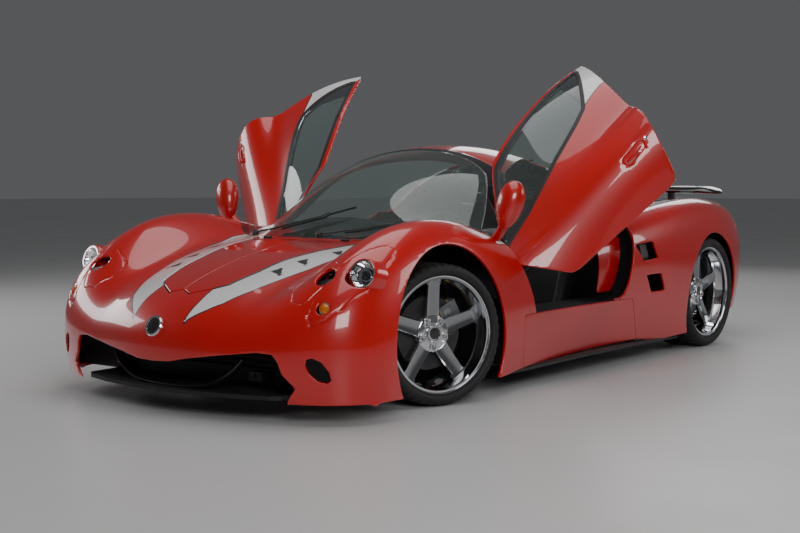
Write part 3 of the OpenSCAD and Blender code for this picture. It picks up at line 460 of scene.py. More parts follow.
# ---- The shell: one smooth surface that every body panel is cut from ----
@dataclass
class Skin:
    """A triangulated piece of the shell with normals and a paint index."""

    pos: Array
    nrm: Array
    tri: Array
    paint: Array

    def tidy(self) -> "Skin":
        """Drops points that no triangle uses."""
        used, flat = np.unique(self.tri, return_inverse=True)
        return Skin(self.pos[used], self.nrm[used], flat.reshape(-1, 3), self.paint)

    def crop(self, shape: Field, margin: float) -> "Skin":
        """Keeps the triangles with a corner near a shape.

        Args:
            shape: The shape's field.
            margin: How far outside it still counts.

        Returns:
            The smaller skin.
        """
        near = shape(self.pos) < margin
        keep = near[self.tri].any(axis=1)
        return Skin(self.pos, self.nrm, self.tri[keep], self.paint[keep]).tidy()

    def split(self, shape: Field) -> "Skin":
        """Cuts the triangles along the line where a field is zero.

        Args:
            shape: The field.

        Returns:
            The same surface with points on that line.
        """
        f = shape(self.pos)
        f[np.abs(f) < 2.5e-4] = 0.0
        s = np.sign(f)[self.tri]
        cut = (s.max(axis=1) > 0) & (s.min(axis=1) < 0)
        if not cut.any():
            return self
        tri, sgn, ink = self.tri[cut], s[cut], self.paint[cut]
        edges = np.concatenate([tri[:, [0, 1]], tri[:, [1, 2]], tri[:, [2, 0]]])
        cross = f[edges[:, 0]] * f[edges[:, 1]] < 0
        keys = np.unique(np.sort(edges[cross], axis=1), axis=0)
        t = f[keys[:, 0]] / (f[keys[:, 0]] - f[keys[:, 1]])
        pos = self.pos[keys[:, 0]] * (1 - t)[:, None] + self.pos[keys[:, 1]] * t[:, None]
        nrm = self.nrm[keys[:, 0]] * (1 - t)[:, None] + self.nrm[keys[:, 1]] * t[:, None]
        nrm /= np.linalg.norm(nrm, axis=1)[:, None]
        count = len(self.pos)
        code = keys[:, 0] * count + keys[:, 1]

        def middle(i: Array, j: Array) -> Array:
            """Index of the new point on each edge."""
            lo, hi = np.minimum(i, j), np.maximum(i, j)
            return count + np.searchsorted(code, lo * count + hi)

        new: list[Array] = []
        inks: list[Array] = []
        zero = (sgn == 0).any(axis=1)
        turn = np.argmax(sgn[zero] == 0, axis=1)
        rows = np.arange(len(turn))
        a, b, c = (tri[zero][rows, (turn + k) % 3] for k in range(3))
        m = middle(b, c)
        new += [np.stack([a, b, m], 1), np.stack([a, m, c], 1)]
        inks += [ink[zero]] * 2
        rest, srest = tri[~zero], sgn[~zero]
        lone = np.argmax(srest == -np.sign(srest.sum(axis=1))[:, None], axis=1)
        rows = np.arange(len(lone))
        a, b, c = (rest[rows, (lone + k) % 3] for k in range(3))
        m, n = middle(a, b), middle(a, c)
        new += [np.stack([a, m, n], 1), np.stack([m, b, c], 1), np.stack([m, c, n], 1)]
        inks += [ink[~zero]] * 3
        return Skin(np.concatenate([self.pos, pos]), np.concatenate([self.nrm, nrm]),
                    np.concatenate([self.tri[~cut]] + new), np.concatenate([self.paint[~cut]] + inks))

    def within(self, shape: Field) -> Array:
        """Says which triangles have their middle inside a shape."""
        return shape(self.pos[self.tri].mean(axis=1)) < 0

    def trim(self, shape: Field) -> "Skin":
        """Cuts along a shape's edge and keeps what is inside.

        Args:
            shape: The shape's field.

        Returns:
            The cut skin.
        """
        cut = self.split(shape)
        keep = cut.within(shape)
        return Skin(cut.pos, cut.nrm, cut.tri[keep], cut.paint[keep]).tidy()

    def painted(self, shape: Field, index: int) -> "Skin":
        """Cuts along a shape's edge and gives its inside a paint index.

        Args:
            shape: The shape's field.
            index: The paint's place among the skin's finishes.

        Returns:
            The painted skin.
        """
        cut = self.split(shape)
        inside = cut.within(shape)
        cut.paint = np.where(inside, index, cut.paint)
        return cut


@dataclass
class Shell:
    """The master surface and the outlines that its panels are cut to."""

    wheelbase: float = 2.660
    rows_step: int = 13
    cols_step: int = 8
    skin: float = 0.012
    shut: float = 0.006
    seam: float = 0.0005
    edge_round: float = 0.0035
    shift: Vector = field(default_factory=lambda: Vector((0, 0, 0)))
    net: tuple = ()
    master: Skin | None = None

    def __post_init__(self) -> None:
        """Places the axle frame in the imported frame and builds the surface."""
        lo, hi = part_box("tyre_rear_left")
        self.shift = Vector((0, (lo[1] + hi[1]) / 2 - self.wheelbase / 2, 0))
        self.net = NET
        self.master = self._surface()

    def _surface(self) -> Skin:
        """Evaluates the bicubic surface and its normals over the whole width.

        Returns:
            The whole skin, with its normals.
        """
        net = np.array(self.net, float) / 1000.0
        rows, cols = net.shape[:2]
        tall = np.concatenate([2 * net[:1] - net[1:2], net, 2 * net[-1:] - net[-2:-1]])
        over = tall[:, -2:-1] * np.array([-1, 1, 1])
        wide = np.concatenate([2 * tall[:, :1] - tall[:, 1:2], tall, over], axis=1)

        def weights(n: int, steps: int, slope: bool) -> Array:
            """Weights that blend n control rows into a finer run, or into its slope."""
            t = np.linspace(0, n - 1, steps + 1)
            i = np.minimum(t.astype(int), n - 2)
            f = t - i
            if slope:
                w = np.stack([-(1 - f) ** 2 / 2, (3 * f * f - 4 * f) / 2, (-3 * f * f + 2 * f + 1) / 2,
                              f * f / 2], 1)
            else:
                w = np.stack([(1 - f) ** 3, 3 * f ** 3 - 6 * f * f + 4, -3 * f ** 3 + 3 * f * f + 3 * f + 1,
                              f ** 3], 1) / 6
            out = np.zeros((steps + 1, n + 2))
            for k in range(4):
                out[np.arange(steps + 1), i + k] = w[:, k]
            return out

        nv, nu = (rows - 1) * self.rows_step, (cols - 1) * self.cols_step
        wv, dv = weights(rows, nv, False), weights(rows, nv, True)
        wu, du = weights(cols, nu, False), weights(cols, nu, True)
        pos = np.einsum("ar,rck,bc->abk", wv, wide, wu)
        along = np.einsum("ar,rck,bc->abk", dv, wide, wu)
        across = np.einsum("ar,rck,bc->abk", wv, wide, du)
        nrm = np.cross(along, across)
        nrm /= np.linalg.norm(nrm, axis=2)[..., None]
        if nrm[nv // 2, -1, 2] < 0:
            nrm = -nrm
        pos[:, -1, 0] = nrm[:, -1, 0] = 0.0
        flip = np.array([-1, 1, 1])
        pos = np.concatenate([pos, pos[:, -2::-1] * flip], axis=1)
        nrm = np.concatenate([nrm, nrm[:, -2::-1] * flip], axis=1)
        high, width = pos.shape[:2]
        i, j = np.meshgrid(np.arange(high - 1), np.arange(width - 1), indexing="ij")
        q = (i * width + j).ravel()
        left = (j < nu).ravel()
        a, b, c, d = q, q + 1, q + width, q + width + 1
        first = np.where(left[:, None], np.stack([a, b, c], 1), np.stack([a, b, d], 1))
        second = np.where(left[:, None], np.stack([b, d, c], 1), np.stack([a, d, c], 1))
        tri = np.concatenate([first, second])
        flat, fn = pos.reshape(-1, 3), nrm.reshape(-1, 3)
        face = np.cross(flat[tri[:, 1]] - flat[tri[:, 0]], flat[tri[:, 2]] - flat[tri[:, 0]])
        if (face * fn[tri[:, 0]]).sum() < 0:
            tri = tri[:, ::-1]
        return Skin(flat, fn, tri, np.zeros(len(tri), int))

    def height(self, x: float, y: float) -> float:
        """Finds the surface's height over a plan point.

        Args:
            x: Place across the car.
            y: Place along it.

        Returns:
            The greatest Z nearby.
        """
        gap = (self.master.pos[:, 0] - x) ** 2 + (self.master.pos[:, 1] - y) ** 2
        near = np.argsort(gap)[:12]
        return float(self.master.pos[near, 2].max())

    def panel(self, region: Field, top: float = 0.0, thick: float | Callable[[Array], Array] | None = None,
              paints: Iterable[tuple[Field, int]] = (), grooves: Iterable[tuple[Field, float, float]] = (),
              inner_paint: int | None = None, rounded: bool = True) -> tuple[Array, Array, Array]:
        """Cuts a panel out of the surface and gives it thickness.

        Args:
            region: Where the panel is.
            top: How far its outer face lies below the surface.
            thick: Its thickness, or a function of the outer points.
            paints: Fields with the paint index of their inside, in order.
            grooves: Fields with the half width and depth of a groove along their edge.
            inner_paint: Paint index of the inner face; the edges keep the outer face's paint.
            rounded: Whether its edges are rolled over.

        Returns:
            Points, triangles and paint indices.
        """
        sheet = self.master.crop(region, 0.05).trim(region)
        paints, grooves = list(paints), list(grooves)
        for shape, index in paints:
            sheet = sheet.painted(shape, index)
        if rounded:
            for depth in (0.18, 0.5, 1.0):
                sheet = sheet.split(lambda p, d=depth: region(p) + d * self.edge_round)
        for shape, half, _ in grooves:
            for level in (-half, 0.0, half):
                sheet = sheet.split(lambda p, s=shape, k=level: s(p) + k)
        drop = np.zeros(len(sheet.pos))
        if rounded:
            room = np.clip(-region(sheet.pos) / self.edge_round, 0, 1)
            drop = self.edge_round * (1 - np.sqrt(np.clip(1 - (1 - room) ** 2, 0, 1)))
        for shape, half, depth in grooves:
            drop = np.maximum(drop, depth * np.clip(1.2 - np.abs(shape(sheet.pos)) / half, 0, 1))
        wall = self.skin if thick is None else thick
        wall = wall(sheet.pos) if callable(wall) else wall
        outer = sheet.pos - sheet.nrm * (top + drop)[:, None]
        inner = sheet.pos - sheet.nrm * (np.zeros(len(drop)) + top + wall)[:, None]
        count = len(outer)
        t = sheet.tri
        edges = np.concatenate([t[:, [0, 1]], t[:, [1, 2]], t[:, [2, 0]]])
        ink = np.concatenate([sheet.paint] * 3)
        key = np.sort(edges, axis=1)
        _, first, times = np.unique(key[:, 0] * count + key[:, 1], return_index=True, return_counts=True)
        rim, rim_ink = edges[first[times == 1]], ink[first[times == 1]]
        walls = np.concatenate([np.stack([rim[:, 1], rim[:, 0], rim[:, 0] + count], 1),
                                np.stack([rim[:, 1], rim[:, 0] + count, rim[:, 1] + count], 1)])
        tri = np.concatenate([t, t[:, ::-1] + count, walls])
        back = sheet.paint if inner_paint is None else np.full(len(t), inner_paint)
        side = np.concatenate([rim_ink, rim_ink])
        return np.concatenate([outer, inner]), tri, np.concatenate([sheet.paint, back, side])


# ---- The bench: pieces are made here ----
def alone(obj: bpy.types.Object | None = None) -> None:
    """Deselects everything, then selects one object and makes it active.

    Args:
        obj: The object, or nothing to leave all deselected.
    """
    if bpy.context.object and bpy.context.object.mode != "OBJECT":
        bpy.ops.object.mode_set(mode="OBJECT")
    bpy.ops.object.select_all(action="DESELECT")
    if obj:
        obj.select_set(True)
        bpy.context.view_layer.objects.active = obj


def smooth(obj: bpy.types.Object, degrees: float = 35.0) -> None:
    """Shades smooth up to an angle between faces."""
    alone(obj)
    bpy.ops.object.shade_smooth_by_angle(angle=math.radians(degrees))


def mesh_object(name: str, points: Array, faces: Iterable, finishes: Sequence[Finish],
                inks: Array | None = None, angle: float = 35.0) -> bpy.types.Object:
    """Makes an object of points and faces.

    Args:
        name: Its name.
        points: Points in metres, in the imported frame.
        faces: Corner indices of each face.
        finishes: Its material slots.
        inks: Slot of each face.
        angle: Largest angle that is shaded smooth.

    Returns:
        The object.
    """
    mesh = bpy.data.meshes.new(name)
    mesh.from_pydata(np.asarray(points).tolist(), [], [list(map(int, f)) for f in faces])
    for finish in finishes:
        mesh.materials.append(finish.material())
    if inks is not None:
        mesh.polygons.foreach_set("material_index", np.asarray(inks, dtype=np.int32))
    mesh.update()
    obj = bpy.data.objects.new(name, mesh)
    bpy.context.collection.objects.link(obj)
    smooth(obj, angle)
    return obj


def modify(obj: bpy.types.Object, kind: str, **settings: object) -> None:
    """Adds a modifier and applies it.

    Args:
        obj: The piece.
        kind: The modifier's type.
        settings: Its properties by name.
    """
    alone(obj)
    mod = obj.modifiers.new(kind.lower(), kind)
    for key, value in settings.items():
        setattr(mod, key, value)
    bpy.ops.object.modifier_apply(modifier=mod.name)


def block(name: str, low: Point, high: Point, finish: Finish, bevel: float = 0.004, segments: int = 3,
          shape: Callable[[bpy.types.Object], None] | None = None) -> bpy.types.Object:
    """Models a bevelled block, shaped in edit mode on the way.

    Args:
        name: Its name.
        low: Its lowest corner.
        high: Its highest corner.
        finish: Its finish.
        bevel: Edge radius.
        segments: Steps of the bevel.
        shape: Called in edit mode before the bevel.

    Returns:
        The block.
    """
    alone()
    middle = [(a + b) / 2 for a, b in zip(low, high)]
    bpy.ops.mesh.primitive_cube_add(size=1, location=middle)
    obj = bpy.context.object
    obj.name = name
    obj.scale = [b - a for a, b in zip(low, high)]
    bpy.ops.object.transform_apply(location=True, rotation=True, scale=True)
    if shape:
        bpy.ops.object.mode_set(mode="EDIT")
        shape(obj)
        bpy.ops.object.mode_set(mode="OBJECT")
    if bevel:
        modify(obj, "BEVEL", width=bevel, segments=segments, limit_method="ANGLE",
               angle_limit=math.radians(30))
    obj.data.materials.append(finish.material())
    smooth(obj)
    return obj


def lathe(name: str, profile: Sequence[tuple[float, float]], steps: int, finish: Finish,
          at: Matrix | None = None, angle: float = 35.0) -> bpy.types.Object:
    """Spins a profile about the X axis into a closed turned piece.

    Args:
        name: Its name.
        profile: (along, radius) pairs; a closed ring unless it ends on the axis.
        steps: Steps of the turn.
        finish: Its finish.
        at: Where the axis frame stands.
        angle: Largest angle that is shaded smooth.

    Returns:
        The turned piece.
    """
    alone()
    mesh = bpy.data.meshes.new(name)
    loop = [(a, 0.0, r) for a, r in profile]
    ring = min(profile[0][1], profile[-1][1]) > 1e-6
    edges = [(i, i + 1) for i in range(len(loop) - 1)] + ([(len(loop) - 1, 0)] if ring else [])
    mesh.from_pydata(loop, edges, [])
    obj = bpy.data.objects.new(name, mesh)
    bpy.context.collection.objects.link(obj)
    alone(obj)
    bpy.ops.object.mode_set(mode="EDIT")
    bpy.ops.mesh.select_all(action="SELECT")
    bpy.ops.mesh.spin(steps=steps, angle=math.tau, center=(0, 0, 0), axis=(1, 0, 0))
    bpy.ops.mesh.select_all(action="SELECT")
    bpy.ops.mesh.remove_doubles(threshold=1e-5)
    bpy.ops.mesh.normals_make_consistent(inside=False)
    bpy.ops.object.mode_set(mode="OBJECT")
    obj.data.materials.append(finish.material())
    if at is not None:
        place(obj, at)
    smooth(obj, angle)
    return obj


def place(obj: bpy.types.Object, at: Matrix) -> bpy.types.Object:
    """Moves a mesh by a matrix, turning faces back after a mirror.

    Args:
        obj: The piece.
        at: The matrix, in metres.

    Returns:
        The same object.
    """
    obj.data.transform(at)
    if at.determinant() < 0:
        obj.data.flip_normals()
    obj.data.update()
    return obj


def copy_of(obj: bpy.types.Object, name: str, at: Matrix | None = None) -> bpy.types.Object:
    """Copies an object with its own mesh.

    Args:
        obj: The piece to copy.
        name: The copy's name.
        at: Matrix that moves the copy.

    Returns:
        The copy.
    """
    twin = bpy.data.objects.new(name, obj.data.copy())
    bpy.context.collection.objects.link(twin)
    return place(twin, at) if at is not None else twin


def joined(name: str, pieces: Sequence[bpy.types.Object]) -> bpy.types.Object:
    """Joins pieces into one object.

    Args:
        name: The result's name.
        pieces: What to join, the first one kept.

    Returns:
        The one object.
    """
    alone()
    for piece in pieces:
        piece.select_set(True)
    bpy.context.view_layer.objects.active = pieces[0]
    if len(pieces) > 1:
        bpy.ops.object.join()
    obj = bpy.context.object
    obj.name = name
    obj.data.name = name
    return obj


def aim(at: Point, along: Point, roll: float = 0.0) -> Matrix:
    """Frame whose X axis runs along a direction."""
    turn = Vector(along).normalized().to_track_quat("X", "Z").to_matrix().to_4x4()
    return Matrix.Translation(Vector(at)) @ turn @ Matrix.Rotation(roll, 4, "X")


def tube(name: str, path: Sequence[Point], radius: float | Sequence[float], finish: Finish, sides: int = 10,
         flat: float = 1.0) -> bpy.types.Object:
    """Sweeps a round or flattened bar along points.

    Args:
        name: Its name.
        path: Points that it follows.
        radius: Its radius, or one for each point.
        finish: Its finish.
        sides: Corners of its section.
        flat: Height of the section over its width.

    Returns:
        The bar.
    """
    line = [Vector(p) for p in path]
    radii = [radius] * len(line) if isinstance(radius, (int, float)) else list(radius)
    points, faces = [], []
    for k, p in enumerate(line):
        run = (line[min(k + 1, len(line) - 1)] - line[max(k - 1, 0)]).normalized()
        side = run.cross(Vector((0, 0, 1)))
        side = side.normalized() if side.length > 1e-4 else Vector((1, 0, 0))
        up = side.cross(run).normalized()
        for s in range(sides):
            a = math.tau * s / sides
            points.append(p + side * math.cos(a) * radii[k] + up * math.sin(a) * radii[k] * flat)
    for k in range(len(line) - 1):
        for s in range(sides):
            t = (s + 1) % sides
            faces.append((k * sides + s, k * sides + t, (k + 1) * sides + t, (k + 1) * sides + s))
    faces.append(tuple(range(sides - 1, -1, -1)))
    faces.append(tuple((len(line) - 1) * sides + s for s in range(sides)))
    obj = mesh_object(name, np.array([tuple(p) for p in points]), faces, [finish])
    alone(obj)
    bpy.ops.object.mode_set(mode="EDIT")
    bpy.ops.mesh.select_all(action="SELECT")
    bpy.ops.mesh.normals_make_consistent(inside=False)
    bpy.ops.object.mode_set(mode="OBJECT")
    return obj


def curve_through(points: Sequence[Point], steps: int = 6) -> list[Vector]:
    """Finds points of a smooth curve through others.

    Args:
        points: What it passes through.
        steps: Points for each stretch.

    Returns:
        The points, both ends included.
    """
    p = [Vector(q) for q in points]
    p = [2 * p[0] - p[1]] + p + [2 * p[-1] - p[-2]]
    out = []
    for k in range(1, len(p) - 2):
        for s in range(steps):
            t = s / steps
            out.append(0.5 * ((2 * p[k]) + (p[k + 1] - p[k - 1]) * t
                              + (2 * p[k - 1] - 5 * p[k] + 4 * p[k + 1] - p[k + 2]) * t * t
                              + (3 * p[k] - p[k - 1] - 3 * p[k + 1] + p[k + 2]) * t ** 3))
    return out + [p[-2]]


def settle(obj: bpy.types.Object, body: str, slot: str, *nodes: str) -> bpy.types.Object:
    """Puts a finished piece on its body.

    Args:
        obj: The piece.
        body: The body it rides on.
        slot: Not used.
        nodes: The nodes it stands for.

    Returns:
        The same object.
    """
    obj.parent = None
    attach(obj, body)
    if nodes:
        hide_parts(*nodes)
    LOG.info("%s: %d faces on %s", obj.name, len(obj.data.polygons), body)
    return obj


# ---- Outlines shared by panels that meet, in millimetres ----
DOOR_SIDE = ((405, 1300), (400, 1100), (372, 970), (345, 800), (338, 750), (300, 600), (258, 430), (235, 395),
             (200, 383), (-400, 368), (-440, 380), (-600, 570), (-650, 640), (-700, 700), (-790, 745), (-820,
                     1300))
DOOR_PLAN = ((262, 500), (272, 385), (425, 0), (548, -340), (655, -460), (722, -570), (768, -690), (800,
        -820),
             (1300, -950), (1300, 500))
WINDOW_SIDE = ((-900, 660), (-640, 676), (-400, 742), (-105, 852), (90, 915), (180, 948), (345, 1112), (360,
        1300),
               (-900, 1300))
WINDOW_PLAN = ((318, 420), (330, 345), (468, 0), (590, -340), (690, -460), (752, -570), (1300, -600), (1300,
        420))
FENDER_END = ((-560, 200), (-620, 370), (-642, 440), (-668, 500), (-712, 602), (-758, 700), (-800, 760),
              (-820, 1300), (300, 1300), (300, 200))
GLASS_PLAN = ((-1, -1245), (0, -1245), (200, -1225), (420, -1160), (600, -1060), (695, -960), (712, -900),
              (690, -800),
              (625, -650), (560, -535), (500, -460), (430, -420), (300, -385), (150, -360), (0, -352), (-1,
                      -352))
FRAME_PLAN = ((-1, -1275), (0, -1275), (210, -1255), (435, -1190), (620, -1088), (735, -985), (775, -905),
              (800, -840),
              (760, -700), (700, -560), (640, -420), (600, -330), (400, -335), (200, -315), (0, -305), (-1,
                      -305))
ROOF_PLAN = ((-1, -460), (660, -460), (580, -150), (345, 400), (345, 448), (-1, 448))
HOOD_PLAN = ((-1, -2124), (0, -2124), (62, -2152), (160, -2092), (203, -2050), (240, -1900), (252, -1750),
             (302, -1540), (345, -1360), (356, -1304), (-1, -1304))
COVER_PLAN = ((-1, 464), (330, 464), (500, 600), (590, 850), (612, 1200), (600, 1540), (545, 1660), (0, 1675),
              (-1, 1675))
TAIL_PLAN = ((-1, 1688), (640, 1688), (690, 1790), (1300, 1790), (1300, 2500), (-1, 2500))
SILL_SIDE = ((-748, 362), (-748, -50), (470, -50), (470, 128), (335, 362))
NOSE_MOUTH = ((-1, 238), (0, 238), (100, 242), (200, 262), (370, 286), (530, 305), (600, 300), (622, 270),
              (640, 215),
              (690, 160), (660, 118), (622, 40), (622, -20), (-1, -20))
FOG_HOLE = ((742, 285), (765, 292), (800, 275), (825, 235), (830, 198), (812, 185), (780, 195), (752, 225),
            (738, 260))
LOWER_SIDE = ((-2500, -100), (-2500, 90), (-1760, 90), (-1010, 84), (-760, 104), (470, 122), (700, 96), (1050,
        108),
              (1700, 200), (2500, 215), (2500, -100))
INTAKE_UP = ((336, 655), (526, 669), (565, 575), (409, 564))
INTAKE_LOW = ((447, 485), (610, 486), (675, 386), (521, 385))
COVER_WINDOW = ((-1, 540), (270, 540), (400, 640), (470, 850), (440, 900), (-1, 900))
STRIPE_FRONT = ((158, -2280), (165, -2200), (160, -2092), (203, -2050), (240, -1900), (252, -1750), (302,
        -1540),
                (345, -1360), (356, -1304), (372, -1150), (560, -1100), (545, -1240), (490, -1400), (450,
                        -1590),
                (428, -1767), (376, -1945), (340, -2050), (282, -2165), (228, -2222))
STRIPE_REAR = ((180, 300), (322, 330), (628, 170), (575, 300), (545, 373), (572, 560), (640, 800), (672,
        1100),
               (672, 1400), (640, 1640), (575, 1860), (520, 2040), (380, 2060), (470, 1860), (545, 1660),
               (600, 1540),
               (612, 1200), (590, 850), (500, 600), (330, 464), (180, 464))
POD = ((753, -1905), (738, -1990), (732, -2082), (728, -2135), (752, -2140), (800, -2108), (848, -2052), (888,
        -1941),
       (892, -1857), (884, -1760), (868, -1716), (840, -1728), (800, -1800))
POD_IN = ((600, -1925), (572, -1968), (572, -2040), (620, -2110), (690, -2115), (735, -2040), (745, -1940),
          (690, -1900))
VENTS = (((316, -1818), (362, -1890), (290, -1876)), ((344, -1676), (390, -1748), (318, -1734)),
         ((392, -1488), (438, -1560), (366, -1546)))
TAIL_LAMPS = ((0.430, 2.004), (0.590, 1.988))


class Paint(Enum):
    """Slots of a body panel, in the order of its materials."""

    BODY = 0
    STRIPE = 1
    LINE = 2
    DARK = 3


BODY_FINISHES = (RED, WHITE, LINE, SATIN)


@dataclass
class Zones:
    """Fields of the openings and panels, made once from the outlines."""

    shell: Shell
    arch_front: float = 0.436
    arch_rear: float = 0.364
    lamp_dir: Point = (0.12, -0.95, 0.30)
    sign_dir: Point = (0.10, -0.98, 0.18)
    lamp_out: Point = (0.853, -1.922, 0.631)
    lamp_in: Point = (0.701, -1.919, 0.595)
    sign: Point = (0.778, -2.081, 0.494)
    lamp_out_r: float = 0.062
    lamp_in_r: float = 0.044
    sign_r: float = 0.027
    lamp_room: float = 0.001
    arch_in: float = 0.60
    arch_front_at: tuple[float, float] = (-0.052, 0.300)
    arch_rear_at: tuple[float, float] = (0.005, 0.322)
    nose_back: float = -1.5
    tail_bore_r: float = 0.056
    tail_lamp_z: float = 0.640
    pipe_x: float = 0.110
    pipe_z: float = 0.330
    pipe_bore_r: float = 0.0465

    def door(self) -> Field:
        """The door's zone."""
        return meet(outline(DOOR_SIDE, Plane.SIDE), outline(DOOR_PLAN, Plane.PLAN))

    def window(self) -> Field:
        """The side window's zone."""
        return meet(outline(WINDOW_SIDE, Plane.SIDE), outline(WINDOW_PLAN, Plane.PLAN), beyond(2, 0.3))

    def plan(self, points: Outline2, low: float = 0.3) -> Field:
        """A plan outline above a height."""
        return meet(outline(points, Plane.PLAN), beyond(2, low))

    def arches(self) -> Field:
        """Both pairs of wheel arches.

        Returns:
            A field that is negative inside them.
        """
        half = self.shell.wheelbase / 2
        (front_y, front_z), (rear_y, rear_z) = self.arch_front_at, self.arch_rear_at

        def value(p: Array) -> Array:
            """Signed distance to the nearer arch's edge."""
            front = np.hypot(p[:, 1] + half - front_y, p[:, 2] - front_z) - self.arch_front
            rear = np.hypot(p[:, 1] - half - rear_y, p[:, 2] - rear_z) - self.arch_rear
            return np.maximum(np.minimum(front, rear), self.arch_in - np.abs(p[:, 0]))

        return value

    def side(self, points: Outline2, inboard: float) -> Field:
        """A side outline outboard of a distance."""
        return meet(outline(points, Plane.SIDE), beyond(0, inboard))

    def nose(self, points: Outline2) -> Field:
        """A front outline on the nose."""
        return meet(outline(points, Plane.FRONT), beyond(1, self.nose_back, -1))

    def front_lamps(self) -> Field:
        """Keeps what is outside the bores of the headlamps and indicators.

        Returns:
            Their field, on the nose only.
        """
        room = self.lamp_room
        lamps = join(bore(self.lamp_out, self.lamp_dir, self.lamp_out_r + room),
                     bore(self.lamp_in, self.lamp_dir, self.lamp_in_r + room),
                     bore(self.sign, self.sign_dir, self.sign_r + room))
        return lambda p: np.where(p[:, 1] < -1.6, -lamps(p), -1.0)

    def tail_bores(self) -> list[Field]:
        """Keep what is outside the bores of the tail lamps and the exhausts.

        Returns:
            One field for the lamps and one for the pipes.
        """
        def lamps(p: Array) -> Array:
            """The round tail lamps' bores."""
            away = [np.hypot(np.abs(p[:, 0]) - x, p[:, 2] - self.tail_lamp_z) for x, _ in TAIL_LAMPS]
            return np.where(p[:, 1] > 1.9, self.tail_bore_r - np.minimum.reduce(away), -1.0)

        def pipes(p: Array) -> Array:
            """The two pipes' bores."""
            away = np.hypot(np.abs(p[:, 0]) - self.pipe_x, p[:, 2] - self.pipe_z)
            return np.where(p[:, 1] > 1.5, self.pipe_bore_r - away, -1.0)

        return [lamps, pipes]


